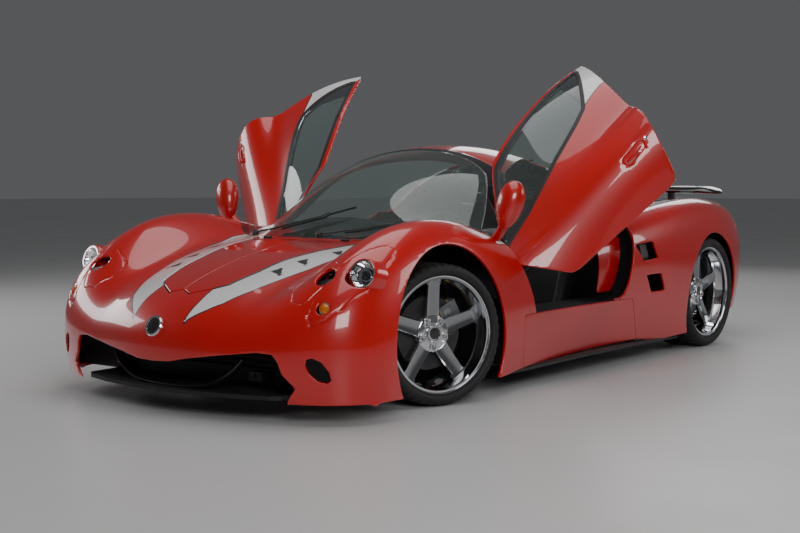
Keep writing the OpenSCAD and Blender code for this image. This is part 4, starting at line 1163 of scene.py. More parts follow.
@dataclass
class Body:
    """The fixed and lifting body panels with their stripes and shut lines."""

    shell: Shell
    zones: Zones
    line: float = 0.006
    jamb_depth: float = 0.0868
    roof_gap: float = 0.0115
    roof_wall: float = 0.006
    fixed_wall: float = 0.012
    lid_wall: float = 0.012
    pod_depth: float = 0.0022
    pod_width: float = 0.0035
    louvres: int = 5
    louvre_from: float = 1.010
    louvre_pitch: float = 0.110
    louvre_half: float = 0.017
    louvre_reach: float = 0.372

    def _add(self, name: str, region: Field, body: str, slot: str, nodes: Sequence[str],
             finishes: Sequence[Finish] = BODY_FINISHES, **cut: object) -> bpy.types.Object:
        """Cuts one panel and settles it on its body.

        Args:
            name: Its name.
            region: Where the skin is kept.
            body: The body that it rides on.
            slot: A slot name, handed on to settle.
            nodes: CAD nodes that it stands for.
            finishes: One finish for each paint.
            cut: What Shell.panel is told.

        Returns:
            The settled panel.
        """
        pos, tri, ink = self.shell.panel(region, **cut)
        obj = mesh_object(name, pos + np.array(self.shell.shift), tri, finishes, ink, 40.0)
        return settle(obj, body, slot, *nodes)

    def stripes(self) -> list[tuple[Field, int]]:
        """The stripes and the dark line round them.

        Returns:
            Fields with their paint, in the order of painting.
        """
        front = outline(STRIPE_FRONT, Plane.PLAN)
        rear = outline(STRIPE_REAR, Plane.PLAN)
        both = meet(join(front, rear), beyond(2, 0.36))
        return [(lambda p: both(p) - self.line, Paint.LINE.value), (both, Paint.STRIPE.value)]

    def vents(self) -> list[tuple[Field, int]]:
        """Three small black vents in each front stripe."""
        return [(self.zones.plan(v), Paint.DARK.value) for v in VENTS]

    def build(self) -> None:
        """Cuts every panel that is not a door."""
        z, gap, seam = self.zones, self.shell.shut, self.shell.seam
        door_gap = clear_of(z.door(), gap)
        lower = clear_of(outline(LOWER_SIDE, Plane.SIDE))
        arches = clear_of(z.arches())
        sill = z.side(SILL_SIDE, 0.5)
        hood, cover = z.plan(HOOD_PLAN), z.plan(COVER_PLAN)
        nose = beyond(1, z.nose_back, -1)
        pods = [(meet(z.plan(pod), nose), self.pod_depth, self.pod_width) for pod in (POD, POD_IN)]
        self._add("front_body", meet(
            beyond(1, -0.56, -1), clear_of(z.side(FENDER_END, 0.6)), door_gap, clear_of(z.plan(FRAME_PLAN),
                    seam),
            clear_of(hood, gap),
                                     clear_of(meet(beyond(0, 0.362, -1), beyond(1, -1.312), beyond(1, -1.294,
                                             -1))),
            clear_of(sill, seam), lower, arches, clear_of(z.nose(NOSE_MOUTH)), clear_of(z.nose(FOG_HOLE)),
            z.front_lamps()),
            "chassis", "body_red", ["front_clip"], paints=self.stripes() + self.vents(), grooves=pods,
            thick=self.fixed_wall)
        self._add("hood_panel", hood, "hood", "body_red", ["hood"], paints=self.stripes(),
                  thick=self.lid_wall)
        self._add("screen_surround", meet(z.plan(FRAME_PLAN), clear_of(z.plan(GLASS_PLAN), seam), door_gap),
                  "chassis",
                  "gloss_black", ["windscreen_frame"], finishes=(PIANO,), thick=self.fixed_wall)
        self._add("windscreen_pane", z.plan(GLASS_PLAN), "chassis", "glass", ["windscreen"],
                  finishes=(GLASS,),
                  top=0.0025, thick=0.006, rounded=False)
        self._add("roof_skin", meet(z.plan(ROOF_PLAN), clear_of(z.plan(FRAME_PLAN), seam),
                                    clear_of(z.door(), self.roof_gap), clear_of(cover, 2 * gap)), "chassis",
                  "body_red",
                  ["roof_panel"], thick=self.roof_wall)
        self._add("sill_skins", meet(sill, clear_of(outline(LOWER_SIDE, Plane.SIDE)), door_gap, arches),
                  "chassis",
                  "body_red", ["side_sills"], thick=self.fixed_wall)
        quarter = meet(beyond(1, 0.15), beyond(1, 1.795, -1), clear_of(z.door(), self.roof_gap - 0.001),
                       clear_of(z.plan(ROOF_PLAN), seam),
                       clear_of(cover, 2 * gap), clear_of(outline(TAIL_PLAN, Plane.PLAN), seam),
                       clear_of(sill, seam),
                       lower, clear_of(z.side(INTAKE_UP, 0.7)), clear_of(z.side(INTAKE_LOW, 0.7)), arches)
        for side, sign in (("left", 1), ("right", -1)):
            self._add(f"quarter_skin_{side}", meet(quarter, lambda p, s=sign: -s * p[:, 0]), "chassis",
                      "body_red",
                      [f"rear_quarter_{side}"], paints=self.stripes(), thick=self.fixed_wall)
        self._add("tail_skin", meet(outline(TAIL_PLAN, Plane.PLAN), lower, clear_of(cover, 2 * gap), arches,
                                    *z.tail_bores()),
                  "chassis", "body_red", ["tail_panel"], paints=self.stripes(), thick=self.fixed_wall)
        self.cover(cover)
        self.jambs()

    def jambs(self) -> None:
        """Red door jambs behind the shut door, the door struts and black skirts under the sills."""
        door = meet(self.zones.door(), beyond(1, 0.10), beyond(2, 0.39), beyond(2, 0.86, -1))
        self._add("door_jambs", door, "chassis", "body_red", [], finishes=(RED,), top=self.jamb_depth,
                  thick=0.005,
                  rounded=False)
        struts = []
        for part, ends, radius, finish, sides in (
                ("strut", ((0.655, -0.310, 0.400), (0.672, -0.440, 0.520)), 0.0085, STEEL, 16),
                ("rod", ((0.672, -0.440, 0.520), (0.690, -0.575, 0.645)), 0.0045, CHROME, 12)):
            for s in (-1, 1):
                way = [Vector((s * x, y, z)) + self.shell.shift for x, y, z in ends]
                struts.append(tube(part, way, radius, finish, sides))
        settle(joined("door_struts", struts), "chassis", "steel_bright")
        skirts = []
        for s in (-1, 1):
            run = [Vector((s * x, y, z)) + self.shell.shift for x, y, z in
                   ((0.868, -0.800, 0.088), (0.884, -0.600, 0.094), (0.888, 0.0, 0.100), (0.888, 0.600,
                           0.098), (0.880, 0.960, 0.090))]
            skirts.append(tube("skirt", curve_through(run, 5), 0.030, SATIN, 12, 0.42))
        settle(joined("skirts", skirts), "chassis", "satin_black")

    def cover(self, cover: Field) -> None:
        """Cuts the engine cover with its louvres and smoked window.

        Args:
            cover: The cover's zone.
        """
        z = self.zones
        pane = z.plan(COVER_WINDOW)

        def louvres(p: Array) -> Array:
            """The slots across the lid."""
            k = np.clip(np.floor((p[:, 1] - self.louvre_from) / self.louvre_pitch), 0, self.louvres - 1)
            mid = self.louvre_from + k * self.louvre_pitch + 0.020
            return np.maximum(np.abs(p[:, 1] - mid) - self.louvre_half, np.abs(p[:, 0]) - self.louvre_reach)

        self._add("engine_lid", meet(cover, clear_of(louvres), clear_of(pane)), "engine_cover", "gloss_black",
                  ["engine_cover"], finishes=(PIANO,), thick=self.lid_wall)
        self._add("engine_window", lambda p: pane(p) + 0.0005, "engine_cover", "glass", [], finishes=(SMOKE,),
                  top=0.006,
                  thick=0.006, rounded=False)


@dataclass
class Doors:
    """The two doors, drawn shut and swung up about their slanted hinge lines."""

    shell: Shell
    zones: Zones
    open_angle: float = 62.5
    thick: float = 0.085
    rim: float = 0.032
    edge: float = 0.009
    edge_slope: float = 0.75
    pivot: Point = (0.807, -0.652, 0.540)
    axis: Point = (-0.584, 0.330, 0.742)
    belt: tuple = ((-900, 0), (-900, 600), (-640, 620), (-400, 690), (-105, 800), (150, 880), (500, 960),
                   (500, 0))
    handle: Point = (0.940, 0.165, 0.625)

    def swing(self) -> Matrix:
        """Finds how the shut left door gets to rest.

        Returns:
            The matrix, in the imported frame.
        """
        p = Vector(self.pivot) + self.shell.shift
        turn = Matrix.Rotation(math.radians(-self.open_angle), 4, Vector(self.axis))
        return Matrix.Translation(p) @ turn @ Matrix.Translation(-p)

    def wall(self, p: Array) -> Array:
        """Finds the thickness of the door: deep below the belt, slim round the window and at its edges.

        Args:
            p: Points of the skin, in the axle frame.

        Returns:
            One thickness for each point.
        """
        below = outline(self.belt, Plane.SIDE)(p)
        t = np.clip(0.5 - below / 0.030, 0, 1)
        t = t * t * (3 - 2 * t)
        inside = np.maximum(-self.zones.door()(p), 0.0)
        return np.minimum(self.rim + (self.thick - self.rim) * t, self.edge + self.edge_slope * inside)

    def build(self) -> None:
        """Cuts, dresses and hangs both doors."""
        z = self.zones
        window, door = z.window(), z.door()

        def left(p: Array) -> Array:
            """The car's left half."""
            return -p[:, 0]

        dark_corner = meet(outline(((203, 900), (203, 1200), (560, 1300), (560, 800), (178, 800)),
                                   Plane.SIDE), window)
        stripe = meet(outline(((180, 470), (322, 330), (628, 168), (552, 350), (548, 470)), Plane.PLAN),
                      beyond(2, 0.8))
        recess = self.handle_field()
        paints = [(lambda p: stripe(p) - 0.005, Paint.LINE.value), (stripe, Paint.STRIPE.value),
                  (lambda p: window(p) - 0.020, Paint.DARK.value)]
        pos, tri, ink = self.shell.panel(meet(door, left, clear_of(window, 0.0005)), thick=self.wall,
                                         paints=paints,
                                         grooves=[(recess, 0.003, 0.004)], inner_paint=4)
        turn = self.swing()
        flip = Matrix.Scale(-1, 4, (1, 0, 0))
        shell = mesh_object("door_skin_left", pos + np.array(self.shell.shift), tri, (*BODY_FINISHES, TRIM),
                            ink, 40.0)
        parts = [shell] + self.furniture()
        door_left = joined("door_skin_left", parts)
        pane_pos, pane_tri, pane_ink = self.shell.panel(
            meet(window, door, left), top=0.006, thick=0.006, paints=[(dark_corner, 1)], rounded=False)
        pane = mesh_object("door_pane_left", pane_pos + np.array(self.shell.shift), pane_tri, (GLASS, SMOKE),
                           pane_ink)
        for part, name, slot, node in ((door_left, "door_skin", "body_red", "door"),
                                       (pane, "door_pane", "glass", "door_glass")):
            place(part, turn)
            twin = copy_of(part, f"{name}_right", flip)
            settle(part, "door_left", slot, f"{node}_left")
            settle(twin, "door_right", slot, f"{node}_right")

    def handle_field(self) -> Field:
        """Outline of the flush handle's recess on the door's flank.

        Returns:
            A field that is negative inside it.
        """
        hx, hy, hz = self.handle
        tilt = math.radians(12)

        def value(p: Array) -> Array:
            """Signed distance to the handle's outline."""
            dy, dz = p[:, 1] - hy, p[:, 2] - hz
            a, b = dy * math.cos(tilt) + dz * math.sin(tilt), -dy * math.sin(tilt) + dz * math.cos(tilt)
            inside = np.hypot(np.maximum(np.abs(a) - 0.045, 0), b) - 0.024
            return np.where(p[:, 0] > 0.6, inside, 1.0)

        return value

    def furniture(self) -> list[bpy.types.Object]:
        """Builds the handle, lock and hinge arm of the shut left door.

        Returns:
            The pieces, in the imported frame.
        """
        shift = self.shell.shift
        hx, hy, hz = self.handle
        way = [Vector((hx + x, hy + y, hz + z)) + shift for x, y, z in
               ((0.004, -0.046, -0.008), (0.013, -0.02, -0.003), (0.014, 0.02, 0.005), (0.008, 0.046, 0.011))]
        grip = tube("grip", curve_through(way), 0.011, RED, 12, 0.75)
        lock = lathe("lock", [(-0.004, 0.0), (-0.004, 0.011), (0.003, 0.011), (0.004, 0.009), (0.004, 0.0)],
                     20, CHROME,
                     Matrix.Translation(Vector((hx + 0.004, hy + 0.092, hz + 0.022)) + shift))
        p = Vector(self.pivot) + shift
        n = Vector(self.axis).normalized()
        profile = [(-0.015, 0.0105), (-0.015, 0.018), (-0.013, 0.019), (0.013, 0.019), (0.015, 0.018),
                   (0.015, 0.0105)]
        collar = lathe("collar", profile, 28, DARK_STEEL, aim(tuple(p), tuple(n)))
        end = Vector((0.862, self.pivot[1] + 0.103, 0.540)) + shift
        arm = tube("arm", [p + Vector((0.012, 0.018, 0)), p + Vector((0.035, 0.060, 0)), end],
                   [0.012, 0.012, 0.011], DARK_STEEL, 12)
        return [grip, lock, collar, arm]


@dataclass
class Studio:
    """Camera, floor and lights."""

    eye: Point = (4.525, -6.431, 1.087)
    heading: float = 36.936
    pitch: float = 4.108
    lens: float = 63.43

    def build(self) -> None:
        """Places the camera, the pale floor and soft lights."""
        scene = bpy.context.scene
        cam = bpy.data.cameras.new("camera")
        cam.lens, cam.sensor_width, cam.clip_end = self.lens, 36.0, 200.0
        eye = bpy.data.objects.new("camera", cam)
        a, e = math.radians(self.heading), math.radians(self.pitch)
        view = Vector((-math.sin(a) * math.cos(e), math.cos(a) * math.cos(e), -math.sin(e)))
        eye.location = self.eye
        eye.rotation_euler = view.to_track_quat("-Z", "Y").to_euler()
        scene.collection.objects.link(eye)
        scene.camera = eye
        alone()
        bpy.ops.mesh.primitive_circle_add(vertices=96, radius=40, fill_type="NGON", location=(0, 0, 0))
        floor = bpy.context.object
        floor.name = "floor"
        floor.data.materials.append(PALE.material())
        world = bpy.data.worlds.new("studio")
        world.use_nodes = True
        world.node_tree.nodes["Background"].inputs["Color"].default_value = (0.62, 0.63, 0.65, 1)
        world.node_tree.nodes["Background"].inputs["Strength"].default_value = 0.16
        scene.world = world
        self.light("overhead", (0.6, -0.6, 4.6), (0, 0, 0.4), (3.4, 5.6), 105)
        self.light("front_left", (5.2, -5.4, 3.2), (0.2, -0.8, 0.5), (2.6, 2.0), 150)
        self.light("side_right", (-5.6, -2.2, 2.6), (0, -0.8, 0.6), (4.5, 1.6), 110)
        self.light("rear_left", (4.8, 3.8, 2.8), (0.6, 0.8, 0.5), (3.4, 1.6), 60)
        self.light("rear", (-2.0, 6.5, 3.2), (0, 1.2, 0.6), (4.0, 1.6), 55)

    def light(self, name: str, at: Point, to: Point, size: tuple[float, float], watts: float) -> None:
        """Adds one soft box.

        Args:
            name: Its name.
            at: Its middle.
            to: What it faces.
            size: Its width and height.
            watts: Its power.
        """
        lamp = bpy.data.lights.new(name, "AREA")
        lamp.shape, lamp.size, lamp.size_y, lamp.energy = "RECTANGLE", size[0], size[1], watts
        obj = bpy.data.objects.new(name, lamp)
        obj.location = at
        obj.rotation_euler = (Vector(to) - Vector(at)).to_track_quat("-Z", "Y").to_euler()
        bpy.context.scene.collection.objects.link(obj)


def loft(name: str, rings: Sequence[Sequence[Point]], finish: Finish,
         angle: float = 35.0) -> bpy.types.Object:
    """Skins a closed solid over rings of as many corners each.

    Args:
        name: Its name.
        rings: Sections, in order.
        finish: Its finish.
        angle: Edges sharper than this stay hard.

    Returns:
        The solid, with its faces outward.
    """
    count = len(rings[0])
    points = np.array([tuple(p) for ring in rings for p in ring], dtype=float)
    faces: list[tuple[int, ...]] = []
    for k in range(len(rings) - 1):
        for s in range(count):
            t = (s + 1) % count
            faces.append((k * count + s, k * count + t, (k + 1) * count + t, (k + 1) * count + s))
    faces.append(tuple(range(count - 1, -1, -1)))
    faces.append(tuple((len(rings) - 1) * count + s for s in range(count)))
    obj = mesh_object(name, points, faces, [finish], angle=angle)
    alone(obj)
    bpy.ops.object.mode_set(mode="EDIT")
    bpy.ops.mesh.select_all(action="SELECT")
    bpy.ops.mesh.normals_make_consistent(inside=False)
    bpy.ops.object.mode_set(mode="OBJECT")
    return obj


@dataclass
class Wheel:
    """One wheel, its tyre and its brake; the wheel's axis is X and its outer face +X."""

    tyre_d: float
    tyre_w: float
    face: float
    lip: float
    rim_r: float = 0.270
    spokes: int = 5
    spoke_root: float = 0.060
    spoke_tip: float = 0.242
    nuts: int = 5
    disc_r: float = 0.170

    def rim(self) -> bpy.types.Object:
        """Turns the barrel with its stepped polished lip.

        Returns:
            The rim.
        """
        r, lip, face = self.rim_r, self.lip, self.face
        return lathe("rim", [(-lip - 0.006, r), (-lip, r), (-lip, r - 0.0165), (lip, r - 0.0165), (lip, r),
                             (lip + 0.006, r), (lip + 0.0075, r - 0.002), (lip + 0.0065, r - 0.0055),
                             (lip - 0.001, r - 0.0085), (lip - 0.010, r - 0.0105), (lip - 0.0125, r - 0.0145),
                             (lip - 0.020, r - 0.0175), (face + 0.026, r - 0.0225), (face + 0.019,
                                     r - 0.0265),
                             (face - 0.006, r - 0.030), (-lip + 0.010, r - 0.030), (-lip - 0.006, r - 0.026)],
                     144, CHROME, angle=28.0)

    def spoke(self, turn: float) -> bpy.types.Object:
        """Builds one flat spoke with chamfered edges and a hollowed face.

        Args:
            turn: Its angle about the axle.

        Returns:
            The spoke.
        """
        rings = []
        for k in range(9):
            t = k / 8
            r = self.spoke_root + (self.spoke_tip - self.spoke_root) * t
            flare = max(0.0, (t - 0.86) / 0.14) ** 2 * 0.012 + max(0.0, (0.18 - t) / 0.18) ** 2 * 0.010
            w = 0.0375 - 0.0045 * t + flare
            x = self.face + 0.004 + 0.012 * t * t
            ring = [(-0.020, -w + 0.007), (-0.016, -w + 0.001), (-0.0045, -w), (-0.0005, -w + 0.0035),
                    (-0.0022, -w + 0.008), (-0.0040, 0.0), (-0.0022, w - 0.008), (-0.0005, w - 0.0035),
                    (-0.0045, w), (-0.016, w - 0.001), (-0.020, w - 0.007)]
            rings.append([(x + a, b, r) for a, b in ring])
        obj = loft("spoke", rings, GUNMETAL, 24.0)
        return place(obj, Matrix.Rotation(turn, 4, "X"))

    def hub(self) -> list[bpy.types.Object]:
        """Builds the hub with its lobes, nuts and cap.

        Returns:
            The pieces.
        """
        f = self.face
        parts = [lathe("hub", [(f - 0.030, 0.026), (f - 0.030, 0.078), (f - 0.004, 0.085), (f + 0.004, 0.083),
                               (f + 0.008, 0.077), (f + 0.008, 0.046), (f + 0.004, 0.043), (f + 0.004, 0.0)],
                       96, CHROME)]
        for k in range(self.nuts):
            a = math.tau * (k + 0.5) / self.nuts
            at = Matrix.Rotation(a, 4, "X") @ Matrix.Translation((0, 0, 0.0625))
            parts.append(lathe("lobe", [(f - 0.020, 0.0), (f - 0.020, 0.0235), (f + 0.008, 0.0225),
                                        (f + 0.0115, 0.019),
                                        (f + 0.0115, 0.0135), (f + 0.006, 0.0125), (f + 0.006, 0.0)], 32,
                               CHROME, at))
            parts.append(lathe("nut", [(f, 0.0), (f, 0.0095), (f + 0.018, 0.0095), (f + 0.021, 0.006),
                                       (f + 0.021, 0.0)],
                               6, STEEL, at, 20.0))
        parts.append(lathe("cap", [(f - 0.002, 0.0), (f - 0.002, 0.040), (f + 0.014, 0.039),
                                   (f + 0.020, 0.036),
                                   (f + 0.020, 0.031), (f + 0.016, 0.029), (f + 0.018, 0.014),
                                   (f + 0.0185, 0.0)], 64, CHROME))
        parts.append(lathe("badge", [(f + 0.012, 0.0), (f + 0.012, 0.0265), (f + 0.0195, 0.0255),
                                     (f + 0.0205, 0.0)], 48, PIANO))
        return parts

    def disc(self) -> list[bpy.types.Object]:
        """Turns the vented brake disc and its bell.

        Returns:
            The pieces.
        """
        r = self.disc_r
        plate = [(-0.035, 0.088), (-0.035, r), (-0.027, r), (-0.027, r - 0.012), (-0.019, r - 0.012), (-0.019,
                r),
                 (-0.011, r), (-0.011, 0.088)]
        bell = [(-0.030, 0.026), (-0.030, 0.0885), (-0.010, 0.0885), (-0.008, 0.070), (self.face - 0.0185,
                0.069),
                (self.face - 0.0185, 0.026)]
        return [lathe("disc", plate, 96, DARK_STEEL), lathe("bell", bell, 64, DARK_STEEL)]

    def build(self) -> bpy.types.Object:
        """Builds the whole wheel, facing +X at the origin.

        Returns:
            The joined wheel.
        """
        parts = [self.rim()]
        parts += [self.spoke(math.tau * k / self.spokes) for k in range(self.spokes)]
        valve = tube("valve", [(self.face + 0.020, 0.040, 0.2355), (self.face + 0.045, 0.040, 0.228)], 0.004,
                     RUBBER, 10)
        return joined("wheel", parts + self.hub() + self.disc() + [valve])

    def tyre(self) -> bpy.types.Object:
        """Builds the tyre with circular grooves and cut shoulder blocks.

        Returns:
            The tyre.
        """
        r, w, lip = self.tyre_d / 2, self.tyre_w / 2, self.lip
        half = [(0.0, r, 0), (0.010, r, 0), (0.0105, r - 0.007, 0), (0.019, r - 0.007, 0), (0.0195, r, 0),
                (w * 0.30, r, 1), (w * 0.36, r - 0.0002, 1), (w * 0.36 + 0.0005, r - 0.0072, 0),
                (w * 0.36 + 0.010, r - 0.0075, 0), (w * 0.36 + 0.0105, r - 0.0006, 0), (w * 0.36 + 0.015,
                        r - 0.0008, 2),
                (w - 0.034, r - 0.002, 2), (w - 0.020, r - 0.0055, 2), (w - 0.010, r - 0.011, 2), (w - 0.005,
                        r - 0.018, 2),
                (w - 0.003, r - 0.022, 0), (w, r - 0.030, 0), (w - 0.0005, r - 0.036, 0), (w - 0.002, 0.284,
                        0),
                (w - 0.006, 0.277, 0), (lip + 0.009, 0.2725, 0), (lip - 0.0005, 0.2705, 0), (lip - 0.0005,
                        0.254, 0)]
        rows = [(-a, b, g) for a, b, g in half[::-1]] + half[1:]
        steps, cut = 240, 5
        points, faces = [], []
        for k in range(steps):
            t = math.tau * k / steps
            for a, b, g in rows:
                notch = (k + (2 if a < 0 else 0)) % cut == 0
                depth = 0.0065 if g == 2 and notch else 0.0
                points.append((a, (b - depth) * math.cos(t), (b - depth) * math.sin(t)))
        n = len(rows)
        for k in range(steps):
            j = (k + 1) % steps
            for s in range(n):
                q = (s + 1) % n
                faces.append((k * n + s, k * n + q, j * n + q, j * n + s))
        obj = mesh_object("tyre", np.array(points), faces, [TYRE], angle=30.0)
        alone(obj)
        bpy.ops.object.mode_set(mode="EDIT")
        bpy.ops.mesh.select_all(action="SELECT")
        bpy.ops.mesh.normals_make_consistent(inside=False)
        bpy.ops.object.mode_set(mode="OBJECT")
        return obj

    def caliper(self) -> bpy.types.Object:
        """Builds the gold caliper that straddles the disc.

        Returns:
            The caliper.
        """
        parts = [block("plate", (-0.0095, 0.092, -0.070), (-0.0005, 0.190, 0.070), CALIPER, 0.004),
                 block("back", (-0.056, 0.092, -0.070), (-0.037, 0.190, 0.070), CALIPER, 0.004),
                 block("bridge", (-0.052, 0.174, -0.066), (-0.003, 0.194, 0.066), CALIPER, 0.006)]
        for z in (-0.036, 0.036):
            parts.append(lathe("pot", [(-0.004, 0.0), (-0.004, 0.019), (0.0005, 0.018), (0.0008, 0.0)], 32,
                               STEEL,
                               Matrix.Translation((0, 0.130, z))))
        return place(joined("caliper", parts), Matrix.Rotation(math.radians(28), 4, "X"))


@dataclass
class Running:
    """All four wheels in place."""

    shell: Shell
    kingpin: float = 0.732
    offset: float = 0.062
    steer: float = 20.0
    track_rear: float = 0.803
    hub_front: float = 0.324
    hub_rear: float = 0.328
    front: Wheel = field(default_factory=lambda: Wheel(0.648, 0.235, 0.023, 0.094))
    rear: Wheel = field(default_factory=lambda: Wheel(0.656, 0.285, 0.044, 0.1191))

    def spot(self, end: str, side: int) -> Matrix:
        """Finds the matrix from a wheel's own frame to its place.

        Args:
            end: front or rear.
            side: 1 for left, -1 for right.

        Returns:
            The matrix.
        """
        half = self.shell.wheelbase / 2
        flip = Matrix.Scale(-1, 4, (1, 0, 0)) if side < 0 else Matrix.Identity(4)
        move = Matrix.Translation(self.shell.shift)
        if end == "front":
            return (move @ Matrix.Translation((side * self.kingpin, -half, self.hub_front))
                    @ Matrix.Rotation(math.radians(-self.steer), 4,
                                      "Z") @ flip @ Matrix.Translation((self.offset, 0, 0)))
        return move @ Matrix.Translation((side * self.track_rear, half, self.hub_rear)) @ flip

    def build(self) -> None:
        """Builds each kind once and copies it to its places."""
        for end, wheel in (("front", self.front), ("rear", self.rear)):
            pieces = [(wheel.build(), "wheel", "wheel_chrome"), (wheel.tyre(), "tyre", "tyre")]
            if end == "front":
                pieces.append((wheel.caliper(), "caliper", "cast_metal"))
            for made, kind, slot in pieces:
                for side, hand in ((1, "left"), (-1, "right")):
                    obj = copy_of(made, f"{kind}_{end}_{hand}_look", self.spot(end, side))
                    body = f"knuckle_{hand}" if kind == "caliper" else f"{end}_wheel_{hand}"
                    settle(obj, body, slot, *([] if kind == "caliper" else [f"{kind}_{end}_{hand}"]))
                bpy.data.objects.remove(made)
        LOG.info("wheels done")


@dataclass
class Lamps:
    """Headlamps, indicators, tail lamps and the nose badge."""

    zones: Zones

    def headlamp(self, at: Point, r: float, pot: float) -> list[bpy.types.Object]:
        """Builds one round lamp: bezel, bowl, bulb, lens and collar.

        Args:
            at: Middle of its rim, in the axle frame.
            r: Its radius.
            pot: Radius of the bulb.

        Returns:
            The pieces.
        """
        frame = Matrix.Translation(self.zones.shell.shift) @ aim(at, self.zones.lamp_dir)
        q = r - 0.0085
        bezel = lathe("bezel", [(-0.012, r - 0.001), (0.002, r), (0.0045, r - 0.002), (0.0045, q + 0.0015),
                                (0.001, q),
                                (-0.012, q)], 72, CHROME, frame)
        bowl = lathe("bowl", [(-0.002, q), (-0.010, q * 0.93), (-0.026, q * 0.74), (-0.040, q * 0.46),
                              (-0.046, q * 0.30),
                              (-0.060, q * 0.30), (-0.060, 0.0), (-0.064, 0.0), (-0.064, r - 0.004), (-0.010,
                                      r - 0.002),
                              (-0.002, r - 0.004)], 72, MIRROR, frame)
        bulb = lathe("bulb", [(-0.058, 0.0), (-0.058, pot), (-0.028, pot), (-0.020, pot * 0.86),
                              (-0.015, pot * 0.5),
                              (-0.0135, 0.0)], 40, PIANO, frame)
        ring = lathe("ring", [(-0.034, pot), (-0.034, pot + 0.004), (-0.026, pot + 0.004), (-0.026, pot)], 48,
                     CHROME, frame)
        lens = lathe("lens", [(-0.001, 0.0), (-0.001, q), (0.0015, q), (0.006, q * 0.80), (0.009, q * 0.5),
                              (0.0105, q * 0.2),
                              (0.0108, 0.0)], 72, LENS, frame)
        collar = lathe("collar", [(-0.075, r + 0.0005), (-0.075, r + 0.020), (-0.040, r + 0.0145),
                                  (-0.015, r + 0.0095),
                                  (0.000, r + 0.0055), (0.0035, r + 0.0025), (0.0038, r + 0.0008)], 72, RED,
                       frame)
        return [bezel, bowl, bulb, ring, lens, collar]

    def dome(self, at: Point, along: Point, r: float, rise: float, finish: Finish) -> list[bpy.types.Object]:
        """Builds a domed lamp in a bright cup.

        Args:
            at: Middle of its rim, in the axle frame.
            along: Where it faces.
            r: Its radius.
            rise: Height of the dome.
            finish: Finish of the dome.

        Returns:
            The pieces.
        """
        frame = Matrix.Translation(self.zones.shell.shift) @ aim(at, along)
        cup = lathe("cup", [(-0.030, 0.0), (-0.030, r - 0.0005), (0.001, r - 0.0005), (0.002, r - 0.003),
                            (-0.001, r - 0.004),
                            (-0.012, r * 0.6), (-0.014, 0.0)], 56, CHROME, frame)
        lens = lathe("lens", [(-0.006, 0.0), (-0.006, r * 0.7), (-0.001, r - 0.0042), (rise * 0.45, r * 0.80),
                              (rise * 0.8, r * 0.5),
                              (rise, r * 0.15), (rise, 0.0)], 56, finish, frame)
        return [cup, lens]

    def build(self) -> None:
        """Builds and settles every lamp."""
        z = self.zones
        mirror = Matrix.Scale(-1, 4, (1, 0, 0))
        front = self.headlamp(z.lamp_out, z.lamp_out_r, 0.020) + self.headlamp(z.lamp_in, z.lamp_in_r, 0.016)
        sign = self.dome(z.sign, z.sign_dir, z.sign_r, 0.008, AMBER)
        tail: list[bpy.types.Object] = []
        for x, y in TAIL_LAMPS:
            tail += self.dome((x, y + 0.079, 0.640), (0, 1, 0), 0.0545, 0.012, RUBY)
        for parts, name, slot in ((front, "headlamps", "lamp_clear"), (sign, "indicators", "lamp_amber"),
                                  (tail, "tail_lamps", "lamp_red")):
            left = joined(f"{name}_one", parts)
            right = copy_of(left, f"{name}_two", mirror)
            settle(joined(f"{name}_look", [left, right]), "chassis", slot, name)
        frame = Matrix.Translation(z.shell.shift) @ aim((0.0, -2.308, 0.390), (0, -0.93, 0.37))
        badge = [lathe("badge_ring", [(-0.010, 0.0), (-0.010, 0.048), (0.003, 0.048), (0.007, 0.044),
                                      (0.007, 0.036),
                                      (0.004, 0.034), (0.004, 0.0)], 72, CHROME, frame),
                 lathe("badge_face", [(0.003, 0.0), (0.003, 0.035), (0.0075, 0.033), (0.009, 0.016),
                                      (0.009, 0.0)], 56, PIANO, frame)]
        settle(joined("nose_badge", badge), "chassis", "wheel_chrome")


